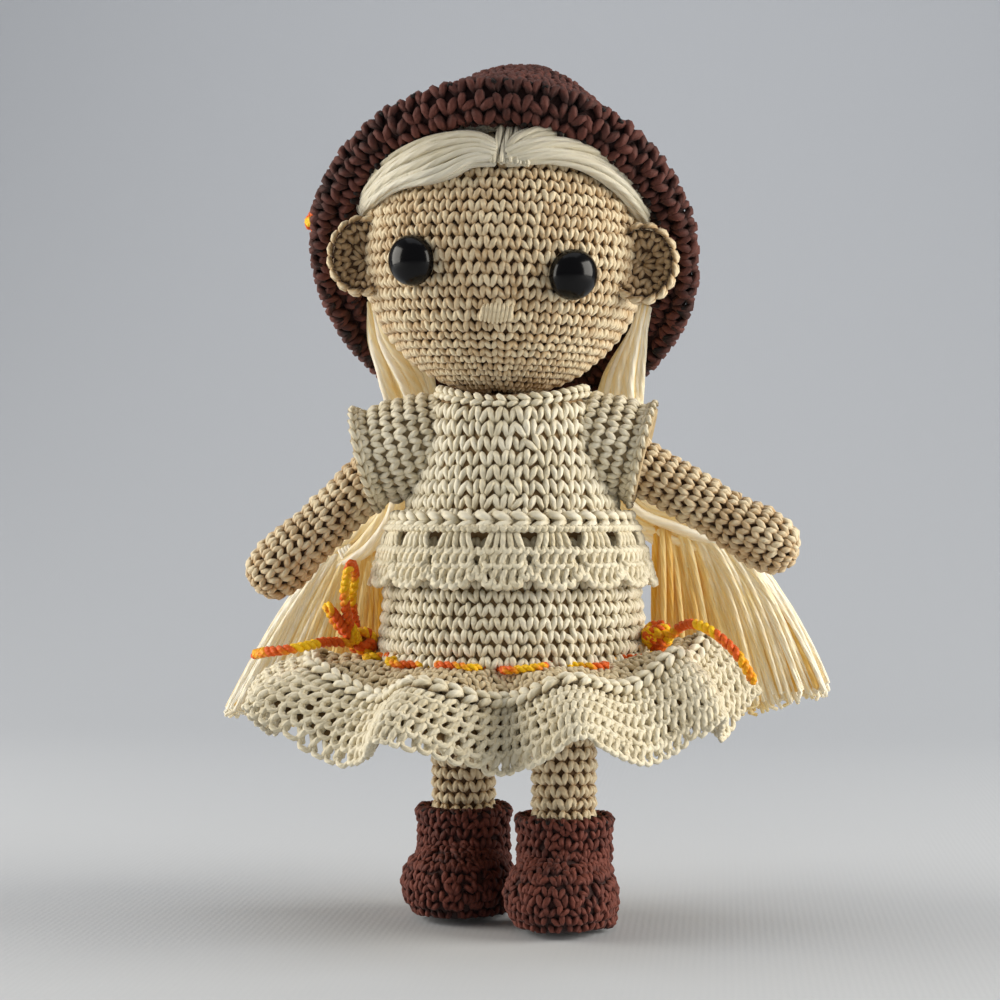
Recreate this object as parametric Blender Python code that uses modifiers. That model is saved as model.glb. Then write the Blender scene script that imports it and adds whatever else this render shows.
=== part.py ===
"""A crocheted doll in a dress, hat and boots, as separate sewn, worn and stuffed pieces.

Metres, +Z up. The doll faces -Y and +X is the viewer's right, so left and right are the viewer's.
The origin is on the floor, under the middle of the doll.
"""

import math

import bmesh
import bpy
import numpy as np
from mathutils import Matrix, Vector

# Clearances and fabrics
GAP = 0.0003  # air between pieces that touch
OVERRUN = 0.004  # how far a cut runs past what it cuts
YARN_WALL = 0.0022  # fine crocheted fabric
HAT_WALL = 0.0040  # bulky crocheted fabric
BOOT_WALL = 0.0026
HAIR_WALL = 0.0016  # yarn laid flat over the skull
MERGE = 0.00001

# Head
HEAD_RADIUS = 0.0339
HEAD_CENTRE_X = -0.0020
HEAD_CENTRE_Z = 0.1584
HEAD_ROLL = math.radians(2.0)
NECK_MOUTH_RADIUS = 0.0060
HAIRLINE_OFFSET = 0.0115
HAIRLINE_TILT = math.radians(30.0)

# Eyes, nose and ears, from the centre of the head
EYE_RADIUS = 0.0050
EYE_DOME = 0.0034
EYE_FLANGE = 0.0005
EYE_POST_RADIUS = 0.0014
EYE_POST_LENGTH = 0.0085
EYE_SPREAD = 0.0181
LEFT_EYE_DROP = 0.0048
RIGHT_EYE_DROP = 0.0070
WASHER_RADIUS = 0.0048
WASHER_THICKNESS = 0.0012
NOSE_WIDTH = 0.0072
NOSE_HEIGHT = 0.0048
NOSE_DEPTH = 0.0030
NOSE_DROP = 0.0162
NOSE_SHIFT = 0.0014
EAR_RADIUS = 0.0084
EAR_CUP = 0.0034
EAR_WALL = 0.0022
EAR_FORWARD = 0.0118
EAR_DROP = 0.0028
EAR_STAND = {"left": 0.0, "right": 0.0016}  # the cup's centre lies this far outside the head

# Hat, worn far back on the head
HAT_TILT = math.radians(50.0)
HAT_FIT = 0.0031  # over the head, with the hair between
HAT_INNER_RADIUS = HEAD_RADIUS + HAT_FIT
HAT_DEPTH = 0.0670
BRIM_RADIUS = 0.0458
BRIM_DROP = 0.0030  # the brim's front face lies this far in front of the head's centre
BRIM_THICKNESS = 0.0044
BRIM_DROOP = 0.0060  # the back of the brim's edge falls by this
BRIM_LIFT = 0.0024  # and its front is turned up by this
BRIM_BEVEL = 0.0015
HAT_KNOT_RADIUS = 0.0026
HAT_KNOT_HALF_LENGTH = 0.0036

# Dress and the body in it: radii of the dress at its heights
NECKLINE_Z, NECKLINE_RADIUS = 0.1262, 0.0182
BUST_Z, BUST_RADIUS = 0.1130, 0.0208
RIBS_Z, RIBS_RADIUS = 0.1010, 0.0245
WAIST_Z, WAIST_RADIUS = 0.0940, 0.0268
HIP_Z, HIP_RADIUS = 0.0800, 0.0302
SKIRT_HEM_Z, SKIRT_HEM_RADIUS = 0.0625, 0.0322
CHAIN_RADIUS = 0.0013
CHAIN_STAND = 0.0006  # air between the waist and the chain that is sewn on it
PEPLUM_LENGTH = 0.0145
PEPLUM_FLARE = 0.0008
PEPLUM_WALL = 0.0014
SEAT_Z = 0.0545  # lowest point of the stuffed body
SEAT_BEND = math.radians(69.0)  # how far round its underside turns
NECK_DOME = 0.0024  # the stuffed body domes up by this into the neck

# Flounce below the skirt
RUFFLE_RADIUS = 0.0615
RUFFLE_TOP_RADIUS = 0.0318
RUFFLE_FALL = 0.0135
RUFFLE_WALL = 0.0020
RUFFLE_FOLDS = 9
RUFFLE_FOLD_HEIGHT = 0.0036
RUFFLE_FRONT_DIP = 0.0050

# Drawstring at the top of the flounce
CORD_RADIUS = 0.0011
KNOT_RADIUS = 0.0030
LEFT_KNOT_ANGLE = math.radians(192.0)
RIGHT_KNOT_ANGLE = math.radians(-14.0)
KNOT_LIFT = 0.0040

# Arms and sleeves
SHOULDER_Z = 0.1172
ARM_SET = {"left": 0.0020, "right": -0.0021}  # rise of each arm's root over the shoulders' axis
ARM_LENGTH = 0.0590
HAND_RADIUS = 0.0072
ARM_DROP = {"left": math.radians(43.0), "right": math.radians(31.0)}
ARM_ROOT_X = 0.0185
SLEEVE_RADIUS = 0.0120
SLEEVE_LENGTH = {"left": 0.0172, "right": 0.0125}
SLEEVE_DROP = math.radians(14.0)
SLEEVE_SET = 0.0042  # fall of the sleeve's root below the shoulders' axis
SLEEVE_WALL = 0.0018
SHOULDER_YARN_RADIUS = 0.0008
SHOULDER_YARN_REACH = 0.0050  # how far the yarn runs into each arm

# Legs and boots
HIP_SPREAD = 0.0122
LEG_RADIUS = 0.0075
LEG_TOP_Z = 0.0680
HIP_Y = {"left": 0.0055, "right": -0.0055}
ANKLE_Y = {"left": 0.0085, "right": -0.0085}
ANKLE_X = {"left": -0.0125, "right": 0.0128}
BOOT_YAW = {"left": math.radians(-14.0), "right": math.radians(-7.0)}
BOOT_HEIGHT = 0.0268
BOOT_ANKLE_RADIUS = 0.0124
TOE_LENGTH = 0.0140
TOE_HALF_WIDTH = 0.0126
TOE_FORWARD = 0.0055
TOE_TOP_Z = 0.0185
INSOLE_THICKNESS = 0.0012

# Hair
LOCK_RADIUS = 0.0036
STRAND_RADIUS = 0.0042
TIE_RADIUS = 0.0040
TIE_LENGTH = 0.0045
TIE_BEVEL = 0.0011
TASSEL_LENGTH = {"left": 0.0440, "right": 0.0400}
TASSEL_RADIUS = 0.0190
TASSEL_FLAT_SHARE = 0.36

# Facets
ROUND_STEPS = 24
LIMB_STEPS = 14
SMALL_STEPS = 12
ARC_POINTS = 10
ROUTE_POINTS = 12
LOOP_POINTS = 18
RING_POINTS = 22
DOME_POINTS = 5
DRESS_POINTS = 7
SKIRT_POINTS = 4
FOLD_STEPS = 8  # facets across each fold of the flounce

# Outlines, as shares of the radius and of the length of the piece that they belong to
ARM_SHARES = (
    (0.78, 0.0), (0.83, -0.22), (0.86, -0.45), (0.83, -0.66), (0.97, -0.84), (0.8, -0.95), (0.42, -0.99),
)
LEG_SHARES = ((1.0, 0.0), (1.0, -0.45), (0.95, -0.7), (0.92, -0.88), (0.72, -0.97))
HAT_SHARES = (
    (0.12, 0.985), (0.27, 0.94), (0.43, 0.85), (0.55, 0.716),
    (0.68, 0.537), (0.835, 0.358), (0.955, 0.19), (1.0, 0.05),
)
SLEEVE_SHARES = ((0.93, 0.35), (1.0, 0.0), (1.03, -0.5), (0.97, -1.0))
TASSEL_SHARES = (
    (0.13, 0.0), (0.2, -0.05), (0.44, -0.28), (0.72, -0.6), (0.94, -0.88), (0.98, -0.96), (0.6, -1.0),
)
BOOT_SHARES = (
    (0.88, 1.0), (0.92, 0.93), (0.875, 0.86), (0.88, 0.55), (0.97, 0.25), (0.95, 0.06), (0.84, -0.05),
)
NECK_SHARES = ((0.42, 1.0), (0.8, 0.62))
RUFFLE_SHARES = ((0.0, 0.0), (0.25, 0.02), (0.5, 0.09), (0.74, 0.28), (0.91, 0.58), (1.0, 1.0))

# Routes, chosen by hand from the photograph
TAIL_ROUTES = {
    "left": (
        (-0.0355, 0.0022, 0.1460), (-0.0336, 0.0057, 0.1380), (-0.0325, 0.0120, 0.1265),
        (-0.0320, 0.0235, 0.1130), (-0.0352, 0.0275, 0.1000), (-0.0425, 0.0290, 0.0885),
    ),
    "right": (
        (0.0315, 0.0022, 0.1458), (0.0296, 0.0057, 0.1380), (0.0288, 0.0120, 0.1265),
        (0.0285, 0.0235, 0.1130), (0.0345, 0.0275, 0.1010), (0.0470, 0.0290, 0.0915),
    ),
}
TASSEL_LEAN = {"left": (-0.34, 0.05, -0.95), "right": (0.13, 0.05, -0.98)}
LOCK_ROUTE_SHARES = (
    (0.03, -0.8, 0.66), (0.3, -0.76, 0.68), (0.6, -0.68, 0.58), (0.84, -0.53, 0.42), (0.95, -0.4, 0.28),
)
LOCK_RADIUS_SHARES = (0.8, 1.0, 0.95, 0.7, 0.35)
TAIL_RADIUS_SHARES = (0.5, 0.7, 0.78, 1.0, 1.0, 0.72)
LEFT_END_ROUTE = (
    (-0.0395, -0.0100, 0.0662), (-0.0422, -0.0150, 0.0670), (-0.0458, -0.0205, 0.0664),
    (-0.0503, -0.0228, 0.0656), (-0.0552, -0.0205, 0.0650), (-0.0592, -0.0140, 0.0640),
)
RIGHT_END_ROUTE = (
    (0.0385, -0.0115, 0.0690), (0.0405, -0.0150, 0.0712), (0.0440, -0.0200, 0.0716),
    (0.0485, -0.0242, 0.0694), (0.0530, -0.0255, 0.0650), (0.0566, -0.0240, 0.0590),
)
BOW_LOOP_ROUTE = (
    (-0.0372, -0.0050, 0.0720), (-0.0375, -0.0065, 0.0770), (-0.0365, -0.0090, 0.0820),
    (-0.0365, -0.0130, 0.0850), (-0.0370, -0.0165, 0.0830), (-0.0378, -0.0160, 0.0780),
    (-0.0375, -0.0125, 0.0725),
)

SIDES = {"left": -1, "right": 1}


def clear_scene():
    """Removes what the file opened with."""
    for old in list(bpy.data.objects):
        bpy.data.objects.remove(old, do_unlink=True)


def new_collection(name):
    group = bpy.data.collections.new(name)
    bpy.context.scene.collection.children.link(group)
    return group


clear_scene()
DOLL = new_collection("amigurumi_doll")
CUTTERS = new_collection("cutters")


def material(name, colour, roughness, metallic=0.0):
    """A plain surface of one linear colour."""
    made = bpy.data.materials.new(name)
    made.use_nodes = True
    shader = made.node_tree.nodes["Principled BSDF"]
    shader.inputs["Base Color"].default_value = (*colour, 1.0)
    shader.inputs["Roughness"].default_value = roughness
    shader.inputs["Metallic"].default_value = metallic
    made.diffuse_color = (*colour, 1.0)
    return made


SKIN_YARN = material("skin_yarn", (0.47, 0.34, 0.21), 0.9)
DRESS_YARN = material("dress_yarn", (0.63, 0.57, 0.45), 0.88)
HAIR_YARN = material("hair_yarn", (0.72, 0.68, 0.52), 0.8)
MAROON_YARN = material("maroon_yarn", (0.068, 0.020, 0.017), 0.85)
CORD_YARN = material("cord_yarn", (0.80, 0.24, 0.01), 0.75)
EYE_PLASTIC = material("eye_plastic", (0.004, 0.004, 0.005), 0.08)
WASHER_PLASTIC = material("washer_plastic", (0.75, 0.75, 0.72), 0.4)
FIBREFILL = material("fibrefill", (0.83, 0.83, 0.80), 0.95)
INSOLE_BOARD = material("insole_board", (0.55, 0.47, 0.36), 0.7)


def smooth_through(points, count):
    """Points of a smooth curve that passes through the given ones."""
    p = np.array(points, float)
    padded = np.vstack([2 * p[0] - p[1], p, 2 * p[-1] - p[-2]])
    found = []
    for place in np.linspace(0, len(p) - 1, count):
        i = min(int(place), len(p) - 2)
        t = place - i
        a, b, c, d = padded[i : i + 4]
        bend = (2 * a - 5 * b + 4 * c - d) * t**2 + (3 * b - 3 * c + d - a) * t**3
        found.append(b + 0.5 * ((c - a) * t + bend))
    return np.array(found)


def inset(outline, distance):
    """An outline moved square to itself, inwards where distance is positive; points on the axis stay on it."""
    points = np.array(outline, float)
    slope = np.gradient(points, axis=0)
    slope /= np.linalg.norm(slope, axis=1)[:, None]
    moved = points - distance * np.column_stack([-slope[:, 1], slope[:, 0]])
    moved[points[:, 0] < MERGE, 0] = 0
    moved[:, 0] = np.maximum(moved[:, 0], 0)
    return moved


def wall_path(outline, wall):
    """The path round a wall: one that starts or ends on the axis is open, and any other is a closed loop."""
    inner = inset(outline, wall)[::-1]
    if outline[-1][0] < MERGE:
        return np.vstack([inner, outline]), False
    return np.vstack([outline, inner]), outline[0][0] >= MERGE


def solid_path(outline):
    """The path round a solid, closed across the axis at both ends."""
    ends = [(0, outline[0][1])], [(0, outline[-1][1])]
    head = ends[0] if outline[0][0] >= MERGE else []
    tail = ends[1] if outline[-1][0] >= MERGE else []
    return np.array([*head, *outline, *tail])


def adopt(piece, group, finish=None, parent=None, location=(0, 0, 0), rotation=(0, 0, 0)):
    """Puts a piece in its collection and in its place."""
    for old in list(piece.users_collection):
        old.objects.unlink(piece)
    group.objects.link(piece)
    piece.parent = parent
    piece.location = location
    piece.rotation_euler = rotation
    if group is CUTTERS:
        piece.hide_render = True
        piece.display_type = "WIRE"
    if finish:
        piece.data.materials.clear()
        piece.data.materials.append(finish)
    return piece


def turned(name, path, steps, closed=False, flat_share=1.0):
    """A path of radius and height turned about Z."""
    mesh = bpy.data.meshes.new(name)
    edges = [(i, i + 1) for i in range(len(path) - 1)]
    if closed:
        edges.append((len(path) - 1, 0))
    mesh.from_pydata([(r, 0, z) for r, z in path], edges, [])
    piece = bpy.data.objects.new(name, mesh)
    piece.scale = (1, flat_share, 1)
    turn = piece.modifiers.new("turn", "SCREW")
    turn.steps = turn.render_steps = steps
    turn.use_merge_vertices = True
    turn.merge_threshold = MERGE
    turn.use_smooth_shade = True
    return piece


def turned_skin(name, outline, wall, steps):
    """A turned wall that is closed at one end."""
    path, closed = wall_path(outline, wall)
    return turned(name, path, steps, closed)


def turned_tube(name, outline, wall, steps):
    """A turned wall that is open at both ends, with level rims."""
    inner = [(r - wall, z) for r, z in outline][::-1]
    return turned(name, [*outline, *inner], steps, True)


def boolean(piece, cutter, operation="DIFFERENCE"):
    step = piece.modifiers.new("with_" + cutter.name, "BOOLEAN")
    step.operation = operation
    step.object = cutter
    step.solver = "EXACT"
    return piece


def ellipsoid(name, radii, segments=SMALL_STEPS):
    """A sphere drawn out to three radii."""
    mesh = bpy.data.meshes.new(name)
    shape = bmesh.new()
    bmesh.ops.create_uvsphere(shape, u_segments=segments, v_segments=segments // 2, radius=1)
    bmesh.ops.scale(shape, vec=radii, verts=shape.verts)
    shape.to_mesh(mesh)
    shape.free()
    mesh.shade_smooth()
    return bpy.data.objects.new(name, mesh)


def box(name, low, high):
    """A box between two corners."""
    mesh = bpy.data.meshes.new(name)
    shape = bmesh.new()
    bmesh.ops.create_cube(shape, size=1)
    low, high = Vector(low), Vector(high)
    bmesh.ops.scale(shape, vec=high - low, verts=shape.verts)
    bmesh.ops.translate(shape, vec=(low + high) / 2, verts=shape.verts)
    shape.to_mesh(mesh)
    shape.free()
    return bpy.data.objects.new(name, mesh)


def rod(name, radius, length, segments=SMALL_STEPS):
    """A cylinder that rises along Z from the origin."""
    mesh = bpy.data.meshes.new(name)
    shape = bmesh.new()
    both = dict(radius1=radius, radius2=radius)
    bmesh.ops.create_cone(shape, cap_ends=True, segments=segments, depth=length, **both)
    bmesh.ops.translate(shape, vec=(0, 0, length / 2), verts=shape.verts)
    shape.to_mesh(mesh)
    shape.free()
    return bpy.data.objects.new(name, mesh)


def tube(name, points, radius, radius_shares=None, resolution=1):
    """A closed mesh tube along points."""
    curve = bpy.data.curves.new(name, "CURVE")
    curve.dimensions = "3D"
    curve.bevel_depth = radius
    curve.bevel_resolution = resolution
    curve.use_fill_caps = True
    spline = curve.splines.new("POLY")
    spline.points.add(len(points) - 1)
    for i, (point, place) in enumerate(zip(spline.points, points)):
        point.co = (*place, 1)
        point.radius = radius_shares[i] if radius_shares is not None else 1
    drawn = bpy.data.objects.new(name, curve)
    bpy.context.scene.collection.objects.link(drawn)
    bpy.context.view_layer.update()
    seen = drawn.evaluated_get(bpy.context.evaluated_depsgraph_get())
    mesh = bpy.data.meshes.new_from_object(seen)
    bpy.data.objects.remove(drawn)
    shape = bmesh.new()
    shape.from_mesh(mesh)
    bmesh.ops.remove_doubles(shape, verts=shape.verts, dist=MERGE)
    bmesh.ops.recalc_face_normals(shape, faces=shape.faces)
    shape.to_mesh(mesh)
    shape.free()
    mesh.shade_smooth()
    return bpy.data.objects.new(name, mesh)


def anchor(name, parent=None, location=(0, 0, 0), rotation=(0, 0, 0)):
    """An empty that carries a moving group, with its origin on the joint's axis."""
    return adopt(bpy.data.objects.new(name, None), DOLL, None, parent, location, rotation)


BASE = anchor("base")
HEAD = anchor("head_axis", BASE, (HEAD_CENTRE_X, 0, HEAD_CENTRE_Z), (0, HEAD_ROLL, 0))
HAT = anchor("hat_axis", HEAD, rotation=(-HAT_TILT, 0, 0))
SHOULDERS = {
    side: anchor(side + "_shoulder", BASE, (sign * ARM_ROOT_X, 0, SHOULDER_Z))
    for side, sign in SIDES.items()
}


def dress_radius(z):
    """Outer radius of the bodice and skirt at a height."""
    heights = [SKIRT_HEM_Z, HIP_Z, WAIST_Z, RIBS_Z, BUST_Z, NECKLINE_Z]
    radii = [SKIRT_HEM_RADIUS, HIP_RADIUS, WAIST_RADIUS, RIBS_RADIUS, BUST_RADIUS, NECKLINE_RADIUS]
    return float(np.interp(z, heights, radii))


def dress_outline(top, bottom, count, grow=0.0):
    return [(dress_radius(z) + grow, z) for z in np.linspace(top, bottom, count)]


def head_arc(radius):
    """A round outline about the centre of the head, from its top down to the rim of the neck's opening."""
    angles = np.linspace(0, math.pi - math.asin(NECK_MOUTH_RADIUS / HEAD_RADIUS), ARC_POINTS)
    return np.column_stack([radius * np.sin(angles), radius * np.cos(angles)])


def head_ball(name, grow):
    """A solid of the head grown by a clearance, to cut what lies on the head."""
    return adopt(turned(name, solid_path(head_arc(HEAD_RADIUS + grow)), ROUND_STEPS), CUTTERS, parent=HEAD)


HEAD_SPACE = head_ball("head_space", GAP)


def on_head(x, z, radius=HEAD_RADIUS):
    """A place on the front of the head and the turn that points local Z out of it."""
    out = Vector((x, -math.sqrt(radius**2 - x**2 - z**2), z))
    return out, out.to_track_quat("Z", "Y").to_euler()


def make_eye(side, drop):
    """A domed eye on a post, the washer that locks it, and the room both need in the filling."""
    x = SIDES[side] * EYE_SPREAD
    place, aim = on_head(x, -drop)
    dip = EYE_RADIUS**2 / (2 * HEAD_RADIUS)
    sunk = place * (1 - (dip - GAP) / HEAD_RADIUS)
    angles = np.linspace(0, math.pi / 2, DOME_POINTS)
    dome = [(EYE_RADIUS * math.sin(a), EYE_DOME * math.cos(a)) for a in angles]
    dome[0] = (0, EYE_DOME)
    post = [(EYE_RADIUS, -EYE_FLANGE), (EYE_POST_RADIUS, -EYE_FLANGE), (EYE_POST_RADIUS, -EYE_POST_LENGTH)]
    outline = solid_path([*dome, *post])
    adopt(turned(side + "_eye", outline, SMALL_STEPS), DOLL, EYE_PLASTIC, HEAD, sunk, aim)
    space = turned(side + "_eye_space", inset(outline, -GAP), SMALL_STEPS)
    adopt(space, CUTTERS, None, HEAD, sunk, aim)
    inner_radius = HEAD_RADIUS - YARN_WALL
    flats = 2 - math.cos(math.pi / ROUND_STEPS) - math.cos(math.pi / (2 * ARC_POINTS - 2))
    seat = -YARN_WALL - WASHER_RADIUS**2 / (2 * inner_radius) - flats * inner_radius - GAP
    ring = [
        (WASHER_RADIUS, seat), (WASHER_RADIUS, seat - WASHER_THICKNESS),
        (EYE_POST_RADIUS + GAP, seat - WASHER_THICKNESS), (EYE_POST_RADIUS + GAP, seat),
    ]
    adopt(turned(side + "_eye_washer", ring, SMALL_STEPS, True), DOLL, WASHER_PLASTIC, HEAD, place, aim)
    pocket = adopt(
        rod(side + "_eye_pocket", WASHER_RADIUS + GAP, EYE_POST_LENGTH + OVERRUN),
        CUTTERS, None, HEAD, place * (1 - (EYE_POST_LENGTH + GAP) / HEAD_RADIUS), aim,
    )
    return space, pocket


def make_head():
    """The crocheted head, open at the neck, and its filling."""
    skin = turned_skin("head_skin", head_arc(HEAD_RADIUS), YARN_WALL, ROUND_STEPS)
    adopt(skin, DOLL, SKIN_YARN, HEAD)
    filling = solid_path(head_arc(HEAD_RADIUS - YARN_WALL - GAP))
    stuffing = adopt(turned("head_stuffing", filling, ROUND_STEPS), DOLL, FIBREFILL, HEAD)
    for side, drop in (("left", LEFT_EYE_DROP), ("right", RIGHT_EYE_DROP)):
        space, pocket = make_eye(side, drop)
        boolean(skin, space)
        boolean(stuffing, pocket)


def make_nose():
    """A satin-stitched patch on the face."""
    place, aim = on_head(NOSE_SHIFT, -NOSE_DROP)
    nose = ellipsoid("nose", (NOSE_WIDTH / 2, NOSE_HEIGHT / 2, NOSE_DEPTH / 2))
    boolean(adopt(nose, DOLL, SKIN_YARN, HEAD, place, aim), HEAD_SPACE)


def make_ear(side):
    """A shallow crocheted cup, hollow side forward, sewn on by its edge."""
    across = math.sqrt(HEAD_RADIUS**2 - EAR_FORWARD**2)
    angles = np.linspace(0, math.pi / 2, DOME_POINTS)
    back = np.array([(EAR_RADIUS * math.sin(a), EAR_CUP * math.cos(a)) for a in angles])
    back[0, 0] = 0
    front = [(EAR_RADIUS - EAR_WALL, 0), (0, EAR_CUP - EAR_WALL)]
    ear = turned(side + "_ear", np.vstack([back, front]), SMALL_STEPS + 2)
    place = (SIDES[side] * (across + EAR_STAND[side]), -EAR_FORWARD - EAR_CUP / 2, -EAR_DROP)
    boolean(adopt(ear, DOLL, SKIN_YARN, HEAD, place, (-math.pi / 2, 0, 0)), HEAD_SPACE)


def make_hair_cap():
    """Yarn laid over the skull behind the hairline, under the hat."""
    ball = solid_path(head_arc(HEAD_RADIUS + GAP + HAIR_WALL))
    cap = adopt(turned("hair_cap", ball, ROUND_STEPS), DOLL, HAIR_YARN, HEAD)
    boolean(cap, HEAD_SPACE)
    reach = HEAD_RADIUS + GAP + HAIR_WALL + OVERRUN
    face = box("face_side", (-reach, -reach, -reach), (reach, reach, HAIRLINE_OFFSET))
    boolean(cap, adopt(face, CUTTERS, None, HEAD, rotation=(-HAIRLINE_TILT, 0, 0)))


def make_fringe(side):
    """A lock swept from the parting to the temple."""
    spots = [Vector((SIDES[side] * x, y, z)).normalized() * HEAD_RADIUS for x, y, z in LOCK_ROUTE_SHARES]
    route = smooth_through(spots, ROUTE_POINTS)
    shares = smooth_through([(share,) for share in LOCK_RADIUS_SHARES], ROUTE_POINTS)[:, 0]
    lock = tube(side + "_fringe", route, LOCK_RADIUS, shares)
    boolean(adopt(lock, DOLL, HAIR_YARN, HEAD), HEAD_SPACE)


def make_tail(side):
    """A hair tail: the bundle of strands, the yarn wrapped round it and the loose ends below."""
    pivot = Vector(TAIL_ROUTES[side][0])
    carrier = anchor(side + "_tail_axis", HEAD)
    head_turn = HEAD.rotation_euler.to_matrix().to_4x4()
    carrier.matrix_parent_inverse = (Matrix.Translation(HEAD.location) @ head_turn).inverted()
    carrier.location = pivot
    route = smooth_through(TAIL_ROUTES[side], ROUTE_POINTS) - np.array(pivot)
    shares = smooth_through([(share,) for share in TAIL_RADIUS_SHARES], ROUTE_POINTS)[:, 0]
    adopt(tube(side + "_tail_strands", route, STRAND_RADIUS, shares), DOLL, HAIR_YARN, carrier)
    end = Vector(route[-1])
    fall = (end - Vector(route[-2])).normalized()
    tie_aim = (-fall).to_track_quat("Z", "Y").to_euler()
    tie_path = [
        (TIE_RADIUS - TIE_BEVEL, 0), (TIE_RADIUS, -TIE_BEVEL),
        (TIE_RADIUS, TIE_BEVEL - TIE_LENGTH), (TIE_RADIUS - TIE_BEVEL, -TIE_LENGTH),
    ]
    tie = turned(side + "_tail_tie", solid_path(tie_path), SMALL_STEPS)
    adopt(tie, DOLL, HAIR_YARN, carrier, end + fall * GAP, tie_aim)
    lean = Vector(TASSEL_LEAN[side]).normalized()
    tilt = TASSEL_SHARES[0][0] * TASSEL_RADIUS * fall.cross(lean).length
    top = end + fall * (TIE_LENGTH + GAP) + lean * (GAP + tilt)
    outline = [(r * TASSEL_RADIUS, z * TASSEL_LENGTH[side]) for r, z in TASSEL_SHARES]
    tassel = turned(side + "_tassel", solid_path(outline), LIMB_STEPS, flat_share=TASSEL_FLAT_SHARE)
    turn = Matrix((Vector((0, 1, 0)).cross(-lean).normalized(), Vector((0, 1, 0)), -lean)).transposed()
    turn.col[1] = turn.col[2].cross(turn.col[0])
    boolean(adopt(tassel, DOLL, HAIR_YARN, carrier, top, turn.to_euler()), RUFFLE_SPACE)


def brim_bend(place):
    """How far the brim is bent up at a place: it hangs at the back and turns up at the front."""
    root = HAT_INNER_RADIUS + HAT_WALL
    out = max(0, place.xy.length - root) / (BRIM_RADIUS - root)
    back = (1 + place.y / place.xy.length) / 2 if out else 0
    return out * (BRIM_LIFT * (1 - back) - BRIM_DROOP * back)


def bend_brim(hat):
    """Bends the turned brim, which keeps the crown as it is."""
    bpy.context.view_layer.update()
    seen = hat.evaluated_get(bpy.context.evaluated_depsgraph_get())
    mesh = bpy.data.meshes.new_from_object(seen)
    hat.modifiers.clear()
    for v in mesh.vertices:
        v.co.z += brim_bend(v.co)
    hat.data = mesh


def make_hat():
    """A deep crown and a round brim, worked in bulky rounds, and the small knot on its side."""
    crown = [(0, HAT_DEPTH)]
    crown += [(r * (HAT_INNER_RADIUS + HAT_WALL), z * HAT_DEPTH) for r, z in HAT_SHARES]
    back = BRIM_THICKNESS - BRIM_DROP
    brim = [
        (HAT_INNER_RADIUS + HAT_WALL, back), (BRIM_RADIUS - BRIM_BEVEL, back),
        (BRIM_RADIUS, back - BRIM_BEVEL), (BRIM_RADIUS, BRIM_BEVEL - BRIM_DROP),
        (BRIM_RADIUS - BRIM_BEVEL, -BRIM_DROP), (HAT_INNER_RADIUS, -BRIM_DROP),
    ]
    inner = inset([*crown, brim[0]], HAT_WALL)[:-1][::-1]
    inner = [p for p in inner if p[1] > -BRIM_DROP]
    path = np.array([*crown, *brim, *inner])
    hat = turned("hat", path, ROUND_STEPS + 4)
    adopt(hat, DOLL, MAROON_YARN, HAT)
    bend_brim(hat)
    knot = ellipsoid("hat_knot", (HAT_KNOT_RADIUS, HAT_KNOT_HALF_LENGTH, HAT_KNOT_RADIUS))
    place = Vector((-BRIM_RADIUS + HAT_KNOT_RADIUS / 2, 0, back + 2 * GAP + HAT_KNOT_RADIUS))
    place.z += brim_bend(place)
    adopt(knot, DOLL, CORD_YARN, HAT, place)


def make_torso():
    """The stuffed body under the dress, dished where the head sits on it."""
    inner = YARN_WALL + GAP
    side = dress_outline(NECKLINE_Z, SKIRT_HEM_Z, DRESS_POINTS, -inner)
    top_radius, low_radius = side[0][0], side[-1][0]
    dome = [(top_radius * out, NECKLINE_Z + NECK_DOME * up) for out, up in NECK_SHARES]
    seat_height = SKIRT_HEM_Z - SEAT_Z
    turns = np.linspace(SEAT_BEND, 0, SKIRT_POINTS)
    bottom = [(low_radius * math.sin(a), SKIRT_HEM_Z - seat_height * math.cos(a)) for a in turns]
    bottom[-1] = (0, SEAT_Z)
    outline = [*dome, *side, *bottom]
    skin = adopt(turned_skin("torso_skin", outline, YARN_WALL, ROUND_STEPS), DOLL, SKIN_YARN, BASE)
    filling = solid_path(inset(outline, YARN_WALL + GAP))
    stuffing = adopt(turned("torso_stuffing", filling, ROUND_STEPS), DOLL, FIBREFILL, BASE)
    for piece in (skin, stuffing):
        boolean(piece, HEAD_SPACE)
        boolean(piece, SHOULDER_YARN_SPACE)
    grown = solid_path(inset(outline, -GAP))
    return adopt(turned("torso_space", grown, ROUND_STEPS), CUTTERS, parent=BASE)


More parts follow.
